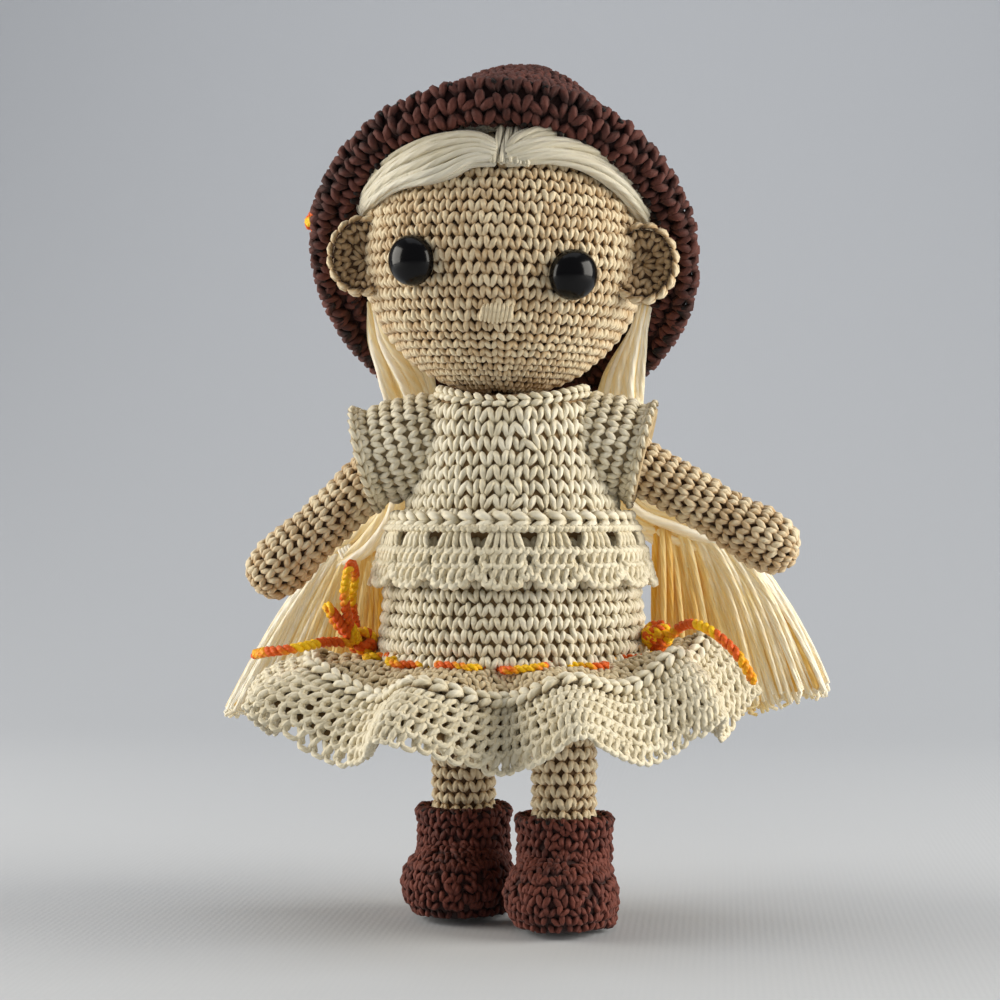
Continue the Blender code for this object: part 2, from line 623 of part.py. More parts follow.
def make_dress():
    """Bodice and skirt that meet at the waist, the chain-stitch ridge over the join and the lace peplum."""
    outline = dress_outline(NECKLINE_Z, WAIST_Z + GAP, DRESS_POINTS)
    bodice = turned_tube("bodice", outline, YARN_WALL, ROUND_STEPS)
    boolean(adopt(bodice, DOLL, DRESS_YARN, BASE), SHOULDER_YARN_SPACE)
    outline = dress_outline(WAIST_Z, SKIRT_HEM_Z, SKIRT_POINTS)
    skirt = turned_tube("skirt", outline, YARN_WALL, ROUND_STEPS)
    adopt(skirt, DOLL, DRESS_YARN, BASE)
    middle = dress_radius(WAIST_Z) + CHAIN_STAND + CHAIN_RADIUS
    angles = np.linspace(0, -2 * math.pi, 6, endpoint=False)
    ring = [(middle + CHAIN_RADIUS * math.cos(a), WAIST_Z + CHAIN_RADIUS * math.sin(a)) for a in angles]
    adopt(turned("waist_chain", ring, ROUND_STEPS, True), DOLL, DRESS_YARN, BASE)
    top = WAIST_Z - CHAIN_RADIUS - GAP
    heights = np.linspace(top, top - PEPLUM_LENGTH, SKIRT_POINTS)
    lift = PEPLUM_WALL + GAP
    outline = [
        (dress_radius(z) + lift + PEPLUM_FLARE * ((top - z) / PEPLUM_LENGTH) ** 2 + GAP, z) for z in heights
    ]
    adopt(turned_tube("peplum", outline, PEPLUM_WALL, ROUND_STEPS), DOLL, DRESS_YARN, BASE)


def ruffle_outline(lift=0.0):
    """The flounce's mean upper side from the skirt out to its hem."""
    run = RUFFLE_RADIUS - RUFFLE_TOP_RADIUS
    top = SKIRT_HEM_Z - GAP
    spots = []
    for out, down in RUFFLE_SHARES:
        spots.append((RUFFLE_TOP_RADIUS + run * out, top - RUFFLE_FALL * down + lift * out))
    return spots


def make_ruffle_space():
    """Room for the flounce's folds all the way round, to cut what lies on it."""
    upper = ruffle_outline(RUFFLE_FOLD_HEIGHT + GAP)
    upper = [(r, z + GAP) for r, z in upper] + [(upper[-1][0] + OVERRUN, upper[-1][1] - GAP)]
    lower = [(upper[-1][0], 0), (0, 0)]
    path = [(0, upper[0][1]), *upper, *lower]
    return adopt(turned("ruffle_space", path, ROUND_STEPS * 2), CUTTERS, parent=BASE)


def make_ruffle():
    """A gathered flounce: a flared sheet whose folds deepen towards the hem and dip at the front."""
    mesh = bpy.data.meshes.new("ruffle")
    sheet = bmesh.new()
    outline = ruffle_outline()
    for r, z in outline:
        sheet.verts.new((r, 0, z))
    sheet.verts.ensure_lookup_table()
    for i in range(len(outline) - 1):
        sheet.edges.new((sheet.verts[i], sheet.verts[i + 1]))
    around = dict(cent=(0, 0, 0), axis=(0, 0, 1), angle=2 * math.pi, steps=RUFFLE_FOLDS * FOLD_STEPS)
    bmesh.ops.spin(sheet, geom=[*sheet.verts, *sheet.edges], use_merge=True, **around)
    bmesh.ops.remove_doubles(sheet, verts=sheet.verts, dist=MERGE)
    run = RUFFLE_RADIUS - RUFFLE_TOP_RADIUS
    for v in sheet.verts:
        out = (v.co.xy.length - RUFFLE_TOP_RADIUS) / run
        angle = math.atan2(v.co.x, -v.co.y)
        fold = math.cos(RUFFLE_FOLDS * angle)
        dip = RUFFLE_FRONT_DIP * (1 + math.cos(2 * angle)) / 2
        v.co.z += out * (RUFFLE_FOLD_HEIGHT * fold * -1 - dip)
        v.co.xy *= 1 - fold * out * RUFFLE_FOLD_HEIGHT / RUFFLE_RADIUS
    bmesh.ops.recalc_face_normals(sheet, faces=sheet.faces)
    if sum(f.normal.z for f in sheet.faces) < 0:
        bmesh.ops.reverse_faces(sheet, faces=sheet.faces)
    sheet.to_mesh(mesh)
    sheet.free()
    mesh.shade_smooth()
    piece = adopt(bpy.data.objects.new("ruffle", mesh), DOLL, DRESS_YARN, BASE)
    wall = piece.modifiers.new("wall", "SOLIDIFY")
    wall.thickness = RUFFLE_WALL
    wall.offset = -1


def knot_place(angle):
    """Centre of a knot that lies against the skirt at the drawstring."""
    radius = SKIRT_HEM_RADIUS + GAP + KNOT_RADIUS
    return Vector((radius * math.cos(angle), radius * math.sin(angle), SKIRT_HEM_Z + KNOT_LIFT))


def make_drawstring():
    """The cord round the top of the flounce in two lengths, tied at both sides, its loop and two free ends."""
    radius = SKIRT_HEM_RADIUS + GAP + CORD_RADIUS
    height = SKIRT_HEM_Z + CORD_RADIUS + GAP
    clear = (KNOT_RADIUS + GAP) / radius
    full = 2 * math.pi
    spans = {
        "drawstring_front": (LEFT_KNOT_ANGLE + clear, full + RIGHT_KNOT_ANGLE - clear),
        "drawstring_back": (RIGHT_KNOT_ANGLE + clear, LEFT_KNOT_ANGLE - clear),
    }
    for name, (first, last) in spans.items():
        angles = np.linspace(first, last, RING_POINTS)
        route = [(radius * math.cos(a), radius * math.sin(a), height) for a in angles]
        adopt(tube(name, route, CORD_RADIUS, resolution=0), DOLL, CORD_YARN, BASE)
    left, right = knot_place(LEFT_KNOT_ANGLE), knot_place(RIGHT_KNOT_ANGLE)
    ball = (KNOT_RADIUS, KNOT_RADIUS, KNOT_RADIUS)
    bow = adopt(ellipsoid("drawstring_bow", ball), DOLL, CORD_YARN, BASE, left)
    spread = Vector((0, CORD_RADIUS + GAP, 0))
    loop = smooth_through([left + spread, *BOW_LOOP_ROUTE, left - spread], LOOP_POINTS)
    boolean(bow, adopt(tube("bow_loop", loop, CORD_RADIUS, resolution=0), CUTTERS, parent=BASE), "UNION")
    adopt(ellipsoid("drawstring_knot", ball), DOLL, CORD_YARN, BASE, right)
    for name, knot, points in (
        ("drawstring_left_end", left, LEFT_END_ROUTE), ("drawstring_right_end", right, RIGHT_END_ROUTE),
    ):
        first = knot + (Vector(points[1]) - knot).normalized() * (KNOT_RADIUS + GAP)
        route = smooth_through([first, *points[1:]], ROUTE_POINTS)
        adopt(tube(name, route, CORD_RADIUS, resolution=0), DOLL, CORD_YARN, BASE)


def make_shoulder_yarn():
    """The strand that is drawn through the body and both arms, which swing on it, and the room it needs."""
    reach = {}
    for name, group, more in (("shoulder_yarn", DOLL, 0), ("shoulder_yarn_space", CUTTERS, GAP)):
        half = dress_radius(SHOULDER_Z) + SHOULDER_YARN_REACH + more
        piece = rod(name, SHOULDER_YARN_RADIUS + more, 2 * half, SMALL_STEPS - 4)
        finish = SKIN_YARN if group is DOLL else None
        reach[name] = adopt(piece, group, finish, BASE, (-half, 0, SHOULDER_Z), (0, math.pi / 2, 0))
    return reach["shoulder_yarn_space"]


def make_swing_space():
    """The dress turned about the shoulders' axis: what swings with an arm stays outside it."""
    reach = np.linspace(0, SHOULDER_Z - WAIST_Z, 6)
    widths = [max(dress_radius(SHOULDER_Z - r), dress_radius(SHOULDER_Z)) + GAP for r in reach]
    upper = list(zip(reach, widths))
    path = [*upper, *[(r, -w) for r, w in upper[::-1]]]
    space = turned("swing_space", path, ROUND_STEPS)
    return adopt(space, CUTTERS, None, BASE, (0, 0, SHOULDER_Z), (0, math.pi / 2, 0))


def make_arm(side):
    """A stuffed arm and the flared cap sleeve round it, both trimmed clear of the dress for the swing."""
    sign = SIDES[side]
    carrier = SHOULDERS[side]
    aim = (0, -sign * (math.pi / 2 - ARM_DROP[side]), 0)
    outline = [(r * HAND_RADIUS, z * ARM_LENGTH) for r, z in ARM_SHARES] + [(0, -ARM_LENGTH)]
    root = (0, 0, ARM_SET[side])
    skin = turned_skin(side + "_arm_skin", outline, YARN_WALL, LIMB_STEPS)
    adopt(skin, DOLL, SKIN_YARN, carrier, root, aim)
    filling = solid_path(inset(outline, YARN_WALL + GAP))
    stuffing = turned(side + "_arm_stuffing", filling, LIMB_STEPS)
    adopt(stuffing, DOLL, FIBREFILL, carrier, root, aim)
    grown = turned(side + "_arm_space", solid_path(inset(outline, -GAP)), LIMB_STEPS)
    space = adopt(grown, CUTTERS, None, carrier, root, aim)
    cap = [(r * SLEEVE_RADIUS, z * SLEEVE_LENGTH[side]) for r, z in SLEEVE_SHARES]
    sleeve = turned_tube(side + "_sleeve", cap, SLEEVE_WALL, LIMB_STEPS + 4)
    sleeve_aim = (0, -sign * (math.pi / 2 - SLEEVE_DROP), 0)
    adopt(sleeve, DOLL, DRESS_YARN, carrier, (0, 0, -SLEEVE_SET), sleeve_aim)
    boolean(sleeve, space)
    for piece in (skin, stuffing, sleeve):
        boolean(piece, SWING_SPACE)
    for piece in (skin, stuffing):
        boolean(piece, SHOULDER_YARN_SPACE)


def boot_forms(side, name, shrink, group, foot, yaw):
    """The ankle and the toe of a boot, shrunk by a wall."""
    ankle = np.array([(r * BOOT_ANKLE_RADIUS, z * BOOT_HEIGHT) for r, z in BOOT_SHARES])
    if shrink:
        ankle = inset(ankle, shrink)
        ankle = ankle[ankle[:, 1] > shrink]
        ankle = np.vstack([[ankle[0, 0], BOOT_HEIGHT + OVERRUN], ankle, [ankle[-1, 0], shrink]])
    upper = turned(f"{side}_{name}", solid_path(ankle), LIMB_STEPS + 2)
    adopt(upper, group, None, foot, rotation=yaw)
    half_height = TOE_TOP_Z / 2 + GAP
    radii = [size - shrink for size in (TOE_HALF_WIDTH, TOE_LENGTH, half_height)]
    toe = ellipsoid(f"{side}_{name}_toe", radii, LIMB_STEPS + 2)
    place = Matrix.Rotation(yaw[2], 3, "Z") @ Vector((0, -TOE_FORWARD, half_height - GAP * 2))
    return upper, adopt(toe, CUTTERS, None, foot, place, yaw)


def make_leg(side):
    """A stuffed leg that stands in its boot; the boot is filled over a stiff insole on a flat sole."""
    hip = Vector((SIDES[side] * HIP_SPREAD, HIP_Y[side], LEG_TOP_Z))
    ankle = Vector((ANKLE_X[side], ANKLE_Y[side], BOOT_HEIGHT / 2))
    foot = anchor(side + "_foot", BASE, (ankle.x, ankle.y, 0))
    sole_top = BOOT_WALL + GAP + INSOLE_THICKNESS
    rise = (hip - ankle).normalized()
    length = (hip.z - sole_top - GAP) / rise.z
    aim = rise.to_track_quat("Z", "Y").to_euler()
    outline = [(r * LEG_RADIUS, z * length) for r, z in LEG_SHARES] + [(0, -length)]
    skin = turned_skin(side + "_leg_skin", outline, YARN_WALL, LIMB_STEPS)
    adopt(skin, DOLL, SKIN_YARN, BASE, hip, aim)
    filling = solid_path(inset(outline, YARN_WALL + GAP))
    stuffing = turned(side + "_leg_stuffing", filling, LIMB_STEPS)
    adopt(stuffing, DOLL, FIBREFILL, BASE, hip, aim)
    for piece in (skin, stuffing):
        boolean(piece, TORSO_SPACE)
    space = turned(side + "_leg_space", solid_path(inset(outline, -GAP)), LIMB_STEPS)
    adopt(space, CUTTERS, None, BASE, hip, aim)
    yaw = (0, 0, BOOT_YAW[side])
    reach = BOOT_ANKLE_RADIUS + TOE_LENGTH + TOE_FORWARD
    boot, toe = boot_forms(side, "boot", 0.0, DOLL, foot, yaw)
    adopt(boot, DOLL, MAROON_YARN, foot, rotation=yaw)
    boolean(boot, toe, "UNION")
    room, toe_room = boot_forms(side, "boot_room", BOOT_WALL, CUTTERS, foot, yaw)
    boolean(boot, boolean(room, toe_room, "UNION"))
    floor = box(side + "_floor", (-reach, -reach, -2 * OVERRUN), (reach, reach, 0))
    boolean(boot, adopt(floor, CUTTERS, None, foot))
    inner, inner_toe = boot_forms(side, "boot_stuffing", BOOT_WALL + GAP, DOLL, foot, yaw)
    adopt(inner, DOLL, FIBREFILL, foot, rotation=yaw)
    boolean(inner, inner_toe, "UNION")
    fill_top = BOOT_HEIGHT - BOOT_WALL
    slab = box(side + "_fill_slab", (-reach, -reach, sole_top + GAP), (reach, reach, fill_top))
    boolean(inner, adopt(slab, CUTTERS, None, foot), "INTERSECT")
    boolean(inner, space)
    insole, insole_toe = boot_forms(side, "insole", BOOT_WALL + GAP, DOLL, foot, yaw)
    adopt(insole, DOLL, INSOLE_BOARD, foot, rotation=yaw)
    boolean(insole, insole_toe, "UNION")
    board = box(side + "_board", (-reach, -reach, BOOT_WALL + GAP), (reach, reach, sole_top))
    boolean(insole, adopt(board, CUTTERS, None, foot), "INTERSECT")


def centre_on_origin():
    """Moves the doll so that the middle of its plan is over the origin."""
    bpy.context.view_layer.update()
    graph = bpy.context.evaluated_depsgraph_get()
    corners = []
    for piece in DOLL.objects:
        if piece.type == "MESH":
            seen = piece.evaluated_get(graph)
            mesh = seen.to_mesh()
            places = np.array([seen.matrix_world @ v.co for v in mesh.vertices])
            corners += [places.min(axis=0), places.max(axis=0)]
            seen.to_mesh_clear()
    middle = (np.min(corners, axis=0) + np.max(corners, axis=0)) / 2
    BASE.location = (-middle[0], -middle[1], 0)
    bpy.context.view_layer.update()


RUFFLE_SPACE = make_ruffle_space()
SHOULDER_YARN_SPACE = make_shoulder_yarn()
SWING_SPACE = make_swing_space()
make_head()
make_nose()
make_hair_cap()
make_hat()
TORSO_SPACE = make_torso()
make_dress()
make_ruffle()
make_drawstring()
for each_side in SIDES:
    make_ear(each_side)
    make_fringe(each_side)
    make_tail(each_side)
    make_arm(each_side)
    make_leg(each_side)
centre_on_origin()
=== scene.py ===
"""A crocheted doll made of its yarns, over its frame of solid pieces.

Metres, +Z up. The doll faces -Y, and left and right are the viewer's.
"""

import math
from collections import namedtuple

import bmesh
import bpy
import numpy as np
from mathutils import Matrix, Vector


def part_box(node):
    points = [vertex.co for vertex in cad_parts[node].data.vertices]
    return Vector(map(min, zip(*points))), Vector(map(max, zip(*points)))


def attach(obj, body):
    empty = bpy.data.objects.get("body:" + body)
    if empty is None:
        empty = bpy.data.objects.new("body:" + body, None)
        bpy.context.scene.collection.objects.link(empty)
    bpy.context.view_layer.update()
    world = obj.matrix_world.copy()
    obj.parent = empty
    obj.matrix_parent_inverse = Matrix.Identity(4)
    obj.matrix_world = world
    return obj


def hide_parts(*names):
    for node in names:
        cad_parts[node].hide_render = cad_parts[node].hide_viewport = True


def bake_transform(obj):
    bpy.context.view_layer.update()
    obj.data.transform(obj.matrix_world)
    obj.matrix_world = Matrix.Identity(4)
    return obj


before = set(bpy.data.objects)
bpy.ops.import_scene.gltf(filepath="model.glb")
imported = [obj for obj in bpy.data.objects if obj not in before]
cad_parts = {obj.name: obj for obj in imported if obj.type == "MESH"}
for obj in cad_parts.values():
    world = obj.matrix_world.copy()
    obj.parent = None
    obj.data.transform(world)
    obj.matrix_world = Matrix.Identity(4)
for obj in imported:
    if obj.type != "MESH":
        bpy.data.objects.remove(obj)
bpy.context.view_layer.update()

# CAMERA, FLOOR AND LIGHT
# A long lens at the height of the doll's waist, a little to its right. The doll stands on a pale
# sweep of paper between two large softboxes, which hang a little above its head, with a weak one
# high over it and a lamp for the paper behind.

MM = 0.001
CAMERA_DISTANCE = 0.580
CAMERA_HEIGHT = 0.100
CAMERA_TURN = math.radians(5.0)
FOCAL_LENGTH, SENSOR_WIDTH = 87.84, 36.0
FRAME_SHIFT = -0.008


def placed(name, data):
    """Puts a camera, a lamp or a mesh into the scene."""
    made = bpy.data.objects.new(name, data)
    bpy.context.scene.collection.objects.link(made)
    return made


lens = bpy.data.cameras.new("camera")
lens.lens = FOCAL_LENGTH
lens.sensor_width = SENSOR_WIDTH
lens.shift_x = FRAME_SHIFT
lens.clip_start = 10 * MM
camera = placed("camera", lens)
camera.location = (
    CAMERA_DISTANCE * math.sin(CAMERA_TURN),
    -CAMERA_DISTANCE * math.cos(CAMERA_TURN),
    CAMERA_HEIGHT,
)
camera.rotation_euler = (math.radians(90.0), 0, CAMERA_TURN)
bpy.context.scene.camera = camera
bpy.context.scene.view_settings.view_transform = "Standard"


def linear(code):
    """The linear colour of an sRGB hex code."""
    parts = [int(code[i : i + 2], 16) / 255 for i in (1, 3, 5)]
    return (*[c / 12.92 if c <= 0.04045 else ((c + 0.055) / 1.055) ** 2.4 for c in parts], 1.0)


def node(tree, kind, links=None, **settings):
    """Adds a node: settings are its properties, and links give its sockets values or other sockets."""
    made = tree.nodes.new("ShaderNode" + kind)
    for name, value in settings.items():
        setattr(made, name, value)
    for socket, value in (links or {}).items():
        if isinstance(value, bpy.types.NodeSocket):
            tree.links.new(value, made.inputs[socket])
        else:
            made.inputs[socket].default_value = value
    return made


def new_material(name):
    """An empty node material and its output."""
    made = bpy.data.materials.new(name)
    made.use_nodes = True
    made.node_tree.nodes.clear()
    return made, made.node_tree, node(made.node_tree, "OutputMaterial")


# Matt seamless paper: even and pale, with a faint grain and fine ribs that run away from the
# camera. Real paper's grain is too fine to show, so it is drawn about a millimetre coarse.
PAPER_RIB = 1.6 * MM
PAPER_GRAIN = 0.9 / MM
RIB_HEIGHT = 0.16


def paper():
    """The matt, faintly ribbed finish of the paper."""
    made, tree, out = new_material("seamless_paper")
    place = node(tree, "TexCoord").outputs["Object"]
    grain = node(tree, "TexNoise", {"Vector": place, "Scale": PAPER_GRAIN, "Detail": 2.0}).outputs["Fac"]
    across = node(tree, "SeparateXYZ", {"Vector": place}).outputs["X"]
    waves = node(tree, "Math", {0: across, 1: 2 * math.pi / PAPER_RIB}, operation="MULTIPLY").outputs[0]
    rib = node(tree, "Math", {0: waves}, operation="SINE").outputs[0]
    height = node(tree, "Math", {0: rib, 1: RIB_HEIGHT, 2: grain}, operation="MULTIPLY_ADD").outputs[0]
    bump = node(tree, "Bump", {"Height": height, "Strength": 0.2, "Distance": 0.2 * MM}).outputs["Normal"]
    shader = node(
        tree, "BsdfPrincipled", {"Base Color": linear("#c0c3c7"), "Roughness": 0.95, "Normal": bump},
    )
    tree.links.new(shader.outputs[0], out.inputs["Surface"])
    return made


FLOOR_FRONT, FLOOR_BACK, FLOOR_WIDTH = -2.5, 0.45, 6.0
BEND_RADIUS, BEND_STEPS, SWEEP_TOP = 0.95, 33, 2.6


def finished(name, mesh, material):
    """Puts a smooth mesh into the scene in its material."""
    mesh.shade_smooth()
    mesh.materials.append(material)
    return placed(name, mesh)


def mesh_of(name, shape):
    """The mesh of a shape whose modelling is done."""
    mesh = bpy.data.meshes.new(name)
    shape.to_mesh(mesh)
    shape.free()
    return mesh


def sweep():
    """Paper that runs along the floor and curves up behind."""
    shape = bmesh.new()
    bend = [
        (FLOOR_BACK + BEND_RADIUS * math.sin(a), BEND_RADIUS - BEND_RADIUS * math.cos(a))
        for a in np.linspace(0, math.pi / 2, BEND_STEPS)
    ]
    outline = [(FLOOR_FRONT, 0.0), *bend, (FLOOR_BACK + BEND_RADIUS, SWEEP_TOP)]
    line = [shape.verts.new((-FLOOR_WIDTH / 2, y, z)) for y, z in outline]
    edges = [shape.edges.new(pair) for pair in zip(line, line[1:])]
    wide = bmesh.ops.extrude_edge_only(shape, edges=edges)["geom"]
    moved = [v for v in wide if isinstance(v, bmesh.types.BMVert)]
    bmesh.ops.translate(shape, vec=(FLOOR_WIDTH, 0, 0), verts=moved)
    bmesh.ops.recalc_face_normals(shape, faces=shape.faces)
    return finished("floor", mesh_of("floor", shape), paper())


def lamp(name, place, aim, size, power, colour):
    """A square soft lamp, so many metres wide and so many watts, aimed at a point."""
    data = bpy.data.lights.new(name, "AREA")
    data.size = size
    data.energy = power
    data.color = linear(colour)[:3]
    made = placed(name, data)
    made.location = place
    made.rotation_euler = (Vector(place) - Vector(aim)).to_track_quat("Z", "Y").to_euler()


sweep()
lamp("left_softbox", (-0.80, -0.07, 0.32), aim=(0, 0, 0.09), size=0.62, power=7.8, colour="#fffaf0")
lamp("right_softbox", (0.80, -0.09, 0.34), aim=(0, 0, 0.09), size=0.62, power=9.0, colour="#fffaf0")
lamp("top_softbox", (0, 0.15, 1.5), aim=(0, 0, 0), size=1.4, power=4.2, colour="#fbfcff")
lamp("backdrop_lamp", (0, 0.60, 1.15), aim=(0, 1.4, 0.60), size=0.9, power=2.9, colour="#f6f8ff")
world = bpy.data.worlds.new("studio")
world.use_nodes = True
room_light = world.node_tree.nodes["Background"].inputs
room_light["Color"].default_value = linear("#dfe3ea")
room_light["Strength"].default_value = 0.26
bpy.context.scene.world = world

# LEGS
# Two tubes of tan cotton worked in the round and stuffed firmly; each stands in its boot. They
# come first, so the yarn and the stitches of the whole doll are made in this section too.

SIDES = {"left": -1, "right": 1}
# The one stream of random numbers that makes every stitch a little unlike the next.
rng = np.random.default_rng(7)

# One length of yarn or many: the points, the faces with four and with three corners, each corner's
# place round and along its yarn in turns and mm, each point's crest, which paints light on high
# points and shade on low ones (on the cord it follows the dye instead), and its tone.
Lengths = namedtuple("Lengths", "verts quads tris quad_map tri_map crest tone")
TIP_LENGTH = 0.6


def unit(vectors):
    """Vectors scaled to a length of one."""
    return vectors / np.linalg.norm(vectors, axis=-1, keepdims=True)


def run_of(line):
    """How far along a line each of its points is."""
    return np.concatenate([[0], np.cumsum(np.linalg.norm(np.diff(line, axis=0), axis=1))])


def strand(route, radii, sides=6, tone=0.5, flat=1.0, painted_shade=0.0):
    """One length of yarn along a route, closed at both ends with a blunt tip."""
    route = np.asarray(route, float)
    count = len(route)
    radii = np.broadcast_to(np.asarray(radii, float), (count,))
    ahead = unit(np.gradient(route, axis=0))
    side = np.cross(ahead[0], (0.0, 0.0, 1.0) if abs(ahead[0][2]) < 0.9 else (1.0, 0.0, 0.0))
    turns = np.linspace(0, 2 * math.pi, sides, endpoint=False)
    rings = []
    for point, radius, step in zip(route, radii, ahead):
        side = unit(side - step * (side @ step))
        other = np.cross(step, side)
        outline = np.cos(turns)[:, None] * side + flat * np.sin(turns)[:, None] * other
        rings.append(point + radius * outline)
    tips = [route[0] - ahead[0] * radii[0] * TIP_LENGTH, route[-1] + ahead[-1] * radii[-1] * TIP_LENGTH]
    verts = np.vstack([*rings, tips])
    run = run_of(route) / MM

    ring, corner = np.meshgrid(np.arange(count - 1), np.arange(sides), indexing="ij")
    after = (corner + 1) % sides
    low, high = ring * sides, (ring + 1) * sides
    quads = np.stack([low + corner, low + after, high + after, high + corner], -1).reshape(-1, 4)
    here, there = corner / sides, (corner + 1) / sides
    start, end = run[ring], run[ring + 1]
    quad_map = np.stack([here, start, there, start, there, end, here, end], -1).reshape(-1, 4, 2)

    corner, after, here, there = corner[0], after[0], here[0], there[0]
    between = (corner + 0.5) / sides
    start, end = np.full(sides, run[0]), np.full(sides, run[-1])
    last = (count - 1) * sides
    foot, head = np.full(sides, count * sides), np.full(sides, count * sides + 1)
    tris = np.vstack([
        np.stack([foot, after, corner], -1),
        np.stack([head, last + corner, last + after], -1),
    ])
    tri_map = np.vstack([
        np.stack([between, start, there, start, here, start], -1),
        np.stack([between, end, here, end, there, end], -1),
    ]).reshape(-1, 3, 2)
    # The painted shade lowers the strand's crest, so the yarn's colour ramp paints it darker.
    crest = np.full(len(verts), 1.0 - painted_shade)
    return Lengths(verts, quads, tris, quad_map, tri_map, crest, np.full(len(verts), tone))


def together(parts):
    """Several lengths of yarn as one."""
    starts = np.concatenate([[0], np.cumsum([len(p.verts) for p in parts])[:-1]])
    return Lengths(
        np.vstack([p.verts for p in parts]),
        np.vstack([p.quads + s for p, s in zip(parts, starts)]),
        np.vstack([p.tris + s for p, s in zip(parts, starts)]),
        *[np.concatenate(values) for values in list(zip(*parts))[3:]],
    )


def yarn_piece(name, mesh, material, body):
    """Finishes a yarn or fabric piece. It rides on its body, if it has one."""
    piece = finished(name, mesh, material)
    if body:
        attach(piece, body)
    return piece


def show(name, parts, material, body=None):
    """A piece made of lengths of yarn."""
    made = together(parts)
    mesh = bpy.data.meshes.new(name)
    mesh.vertices.add(len(made.verts))
    mesh.vertices.foreach_set("co", made.verts.ravel())
    mesh.loops.add(made.quads.size + made.tris.size)
    mesh.loops.foreach_set("vertex_index", np.concatenate([made.quads.ravel(), made.tris.ravel()]))
    mesh.polygons.add(len(made.quads) + len(made.tris))
    starts = [np.arange(len(made.quads)) * 4, made.quads.size + np.arange(len(made.tris)) * 3]
    mesh.polygons.foreach_set("loop_start", np.concatenate(starts))
    mesh.update(calc_edges=True)
    layer = mesh.uv_layers.new(name="yarn")
    layer.data.foreach_set("uv", np.concatenate([made.quad_map.ravel(), made.tri_map.ravel()]))
    for title, values in (("crest", made.crest), ("tone", made.tone)):
        mesh.attributes.new(title, "FLOAT", "POINT").data.foreach_set("value", values.astype(np.float32))
    return yarn_piece(name, mesh, material, body)


# One leg of a V stitch from foot to top, as shares of the stitch: across, up and out of the fabric.
# The stitch is worked about 3.2 mm high, and its crest counts from its hollow up over a range: it
# sets painted shade on the stitch's low parts and painted light on its high ones.
V_LEG = [
    (0.04, -0.50, -0.24), (0.12, -0.26, 0.08), (0.245, 0.00, 0.20), (0.37, 0.23, 0.11), (0.47, 0.44, -0.20),
]
LEG_WIDTHS = [0.10, 0.20, 0.24, 0.22, 0.11]
STITCH_HEIGHT = 3.2 * MM
HOLLOW, CREST_RANGE = -0.25, 0.62


def stitch(plump=1.0, leg=V_LEG):
    """A V stitch one unit wide and high: the foot of each leg and its top are tucked into the fabric."""
    legs = []
    for side in (-1, 1):
        made = strand(np.array(leg) * (side, 1, 1), np.array(LEG_WIDTHS) * plump)
        true_size = np.array([1.0, STITCH_HEIGHT])
        legs.append(made._replace(quad_map=made.quad_map * true_size, tri_map=made.tri_map * true_size))
    made = together(legs)
    return made._replace(crest=np.clip((made.verts[:, 2] - HOLLOW) / CREST_RANGE, 0, 1))


V_STITCH = stitch()
PLUMP_STITCH = stitch(plump=1.12)
# Each copy's twist starts up to so many mm further along the yarn.
YARN_SHIFT = 5.0


def stamped(template, places, tones=None):
    """Copies of a template: places holds each copy's point and its across, up and out vectors."""
    origins, axes = places
    count, size = len(origins), len(template.verts)
    moved = np.einsum("vi,kij->kvj", template.verts, axes) + origins[:, None]
    starts = (np.arange(count) * size)[:, None, None]
    if tones is None:
        tones = rng.random(count)
    shift = rng.random((count, 1, 1, 1)) * YARN_SHIFT * np.array([0, 1.0])
    return Lengths(
        moved.reshape(-1, 3),
        (template.quads[None] + starts).reshape(-1, 4),
        (template.tris[None] + starts).reshape(-1, 3),
        (template.quad_map[None] + shift).reshape(-1, 4, 2),
        (template.tri_map[None] + shift).reshape(-1, 3, 2),
        np.tile(template.crest, count),
        np.repeat(tones, size),
    )


def smooth_through(points, count):
    """Points of a smooth curve that passes through the given ones."""
    p = np.array(points, float)
    padded = np.vstack([2 * p[0] - p[1], p, 2 * p[-1] - p[-2]])
    found = []
    for place in np.linspace(0, len(p) - 1, count):
        i = min(int(place), len(p) - 2)
        t = place - i
        a, b, c, d = padded[i : i + 4]
        bend = (2 * a - 5 * b + 4 * c - d) * t**2 + (3 * b - 3 * c + d - a) * t**3
        found.append(b + 0.5 * ((c - a) * t + bend))
    return np.array(found)


def lathe(profile, place, count=80):
    """A round surface, as a function from a turn and a length up its profile, and the whole length."""
    p = smooth_through(profile, count)
    p[:, 0] = np.maximum(p[:, 0], 0)
    run = run_of(p)
    m = np.array(place)

    def at(turn, along):
        radius, height = np.interp(along, run, p[:, 0]), np.interp(along, run, p[:, 1])
        local = np.stack([radius * np.cos(turn), radius * np.sin(turn), height], -1)
        return local @ m[:3, :3].T + m[:3, 3]

    return at, run[-1]


TURN_REACH, LEVEL_REACH, TINY = 0.01, 0.4 * MM, 1e-12


def frames_at(surface, turn, along):
    """Points of a surface with its directions there: along the round, up the fabric and out of it."""
    turn, along = np.asarray(turn, float), np.asarray(along, float)
    here = surface(turn, along)
    across = surface(turn + TURN_REACH, along) - surface(turn - TURN_REACH, along)
    up = surface(turn, along + LEVEL_REACH) - surface(turn, along - LEVEL_REACH)
    across /= np.linalg.norm(across, axis=-1)[..., None] + TINY
    out = np.cross(across, up)
    out /= np.linalg.norm(out, axis=-1)[..., None] + TINY
    return here, across, np.cross(out, across), out


ROUND_STEPS, FEWEST_STITCHES = 721, 5


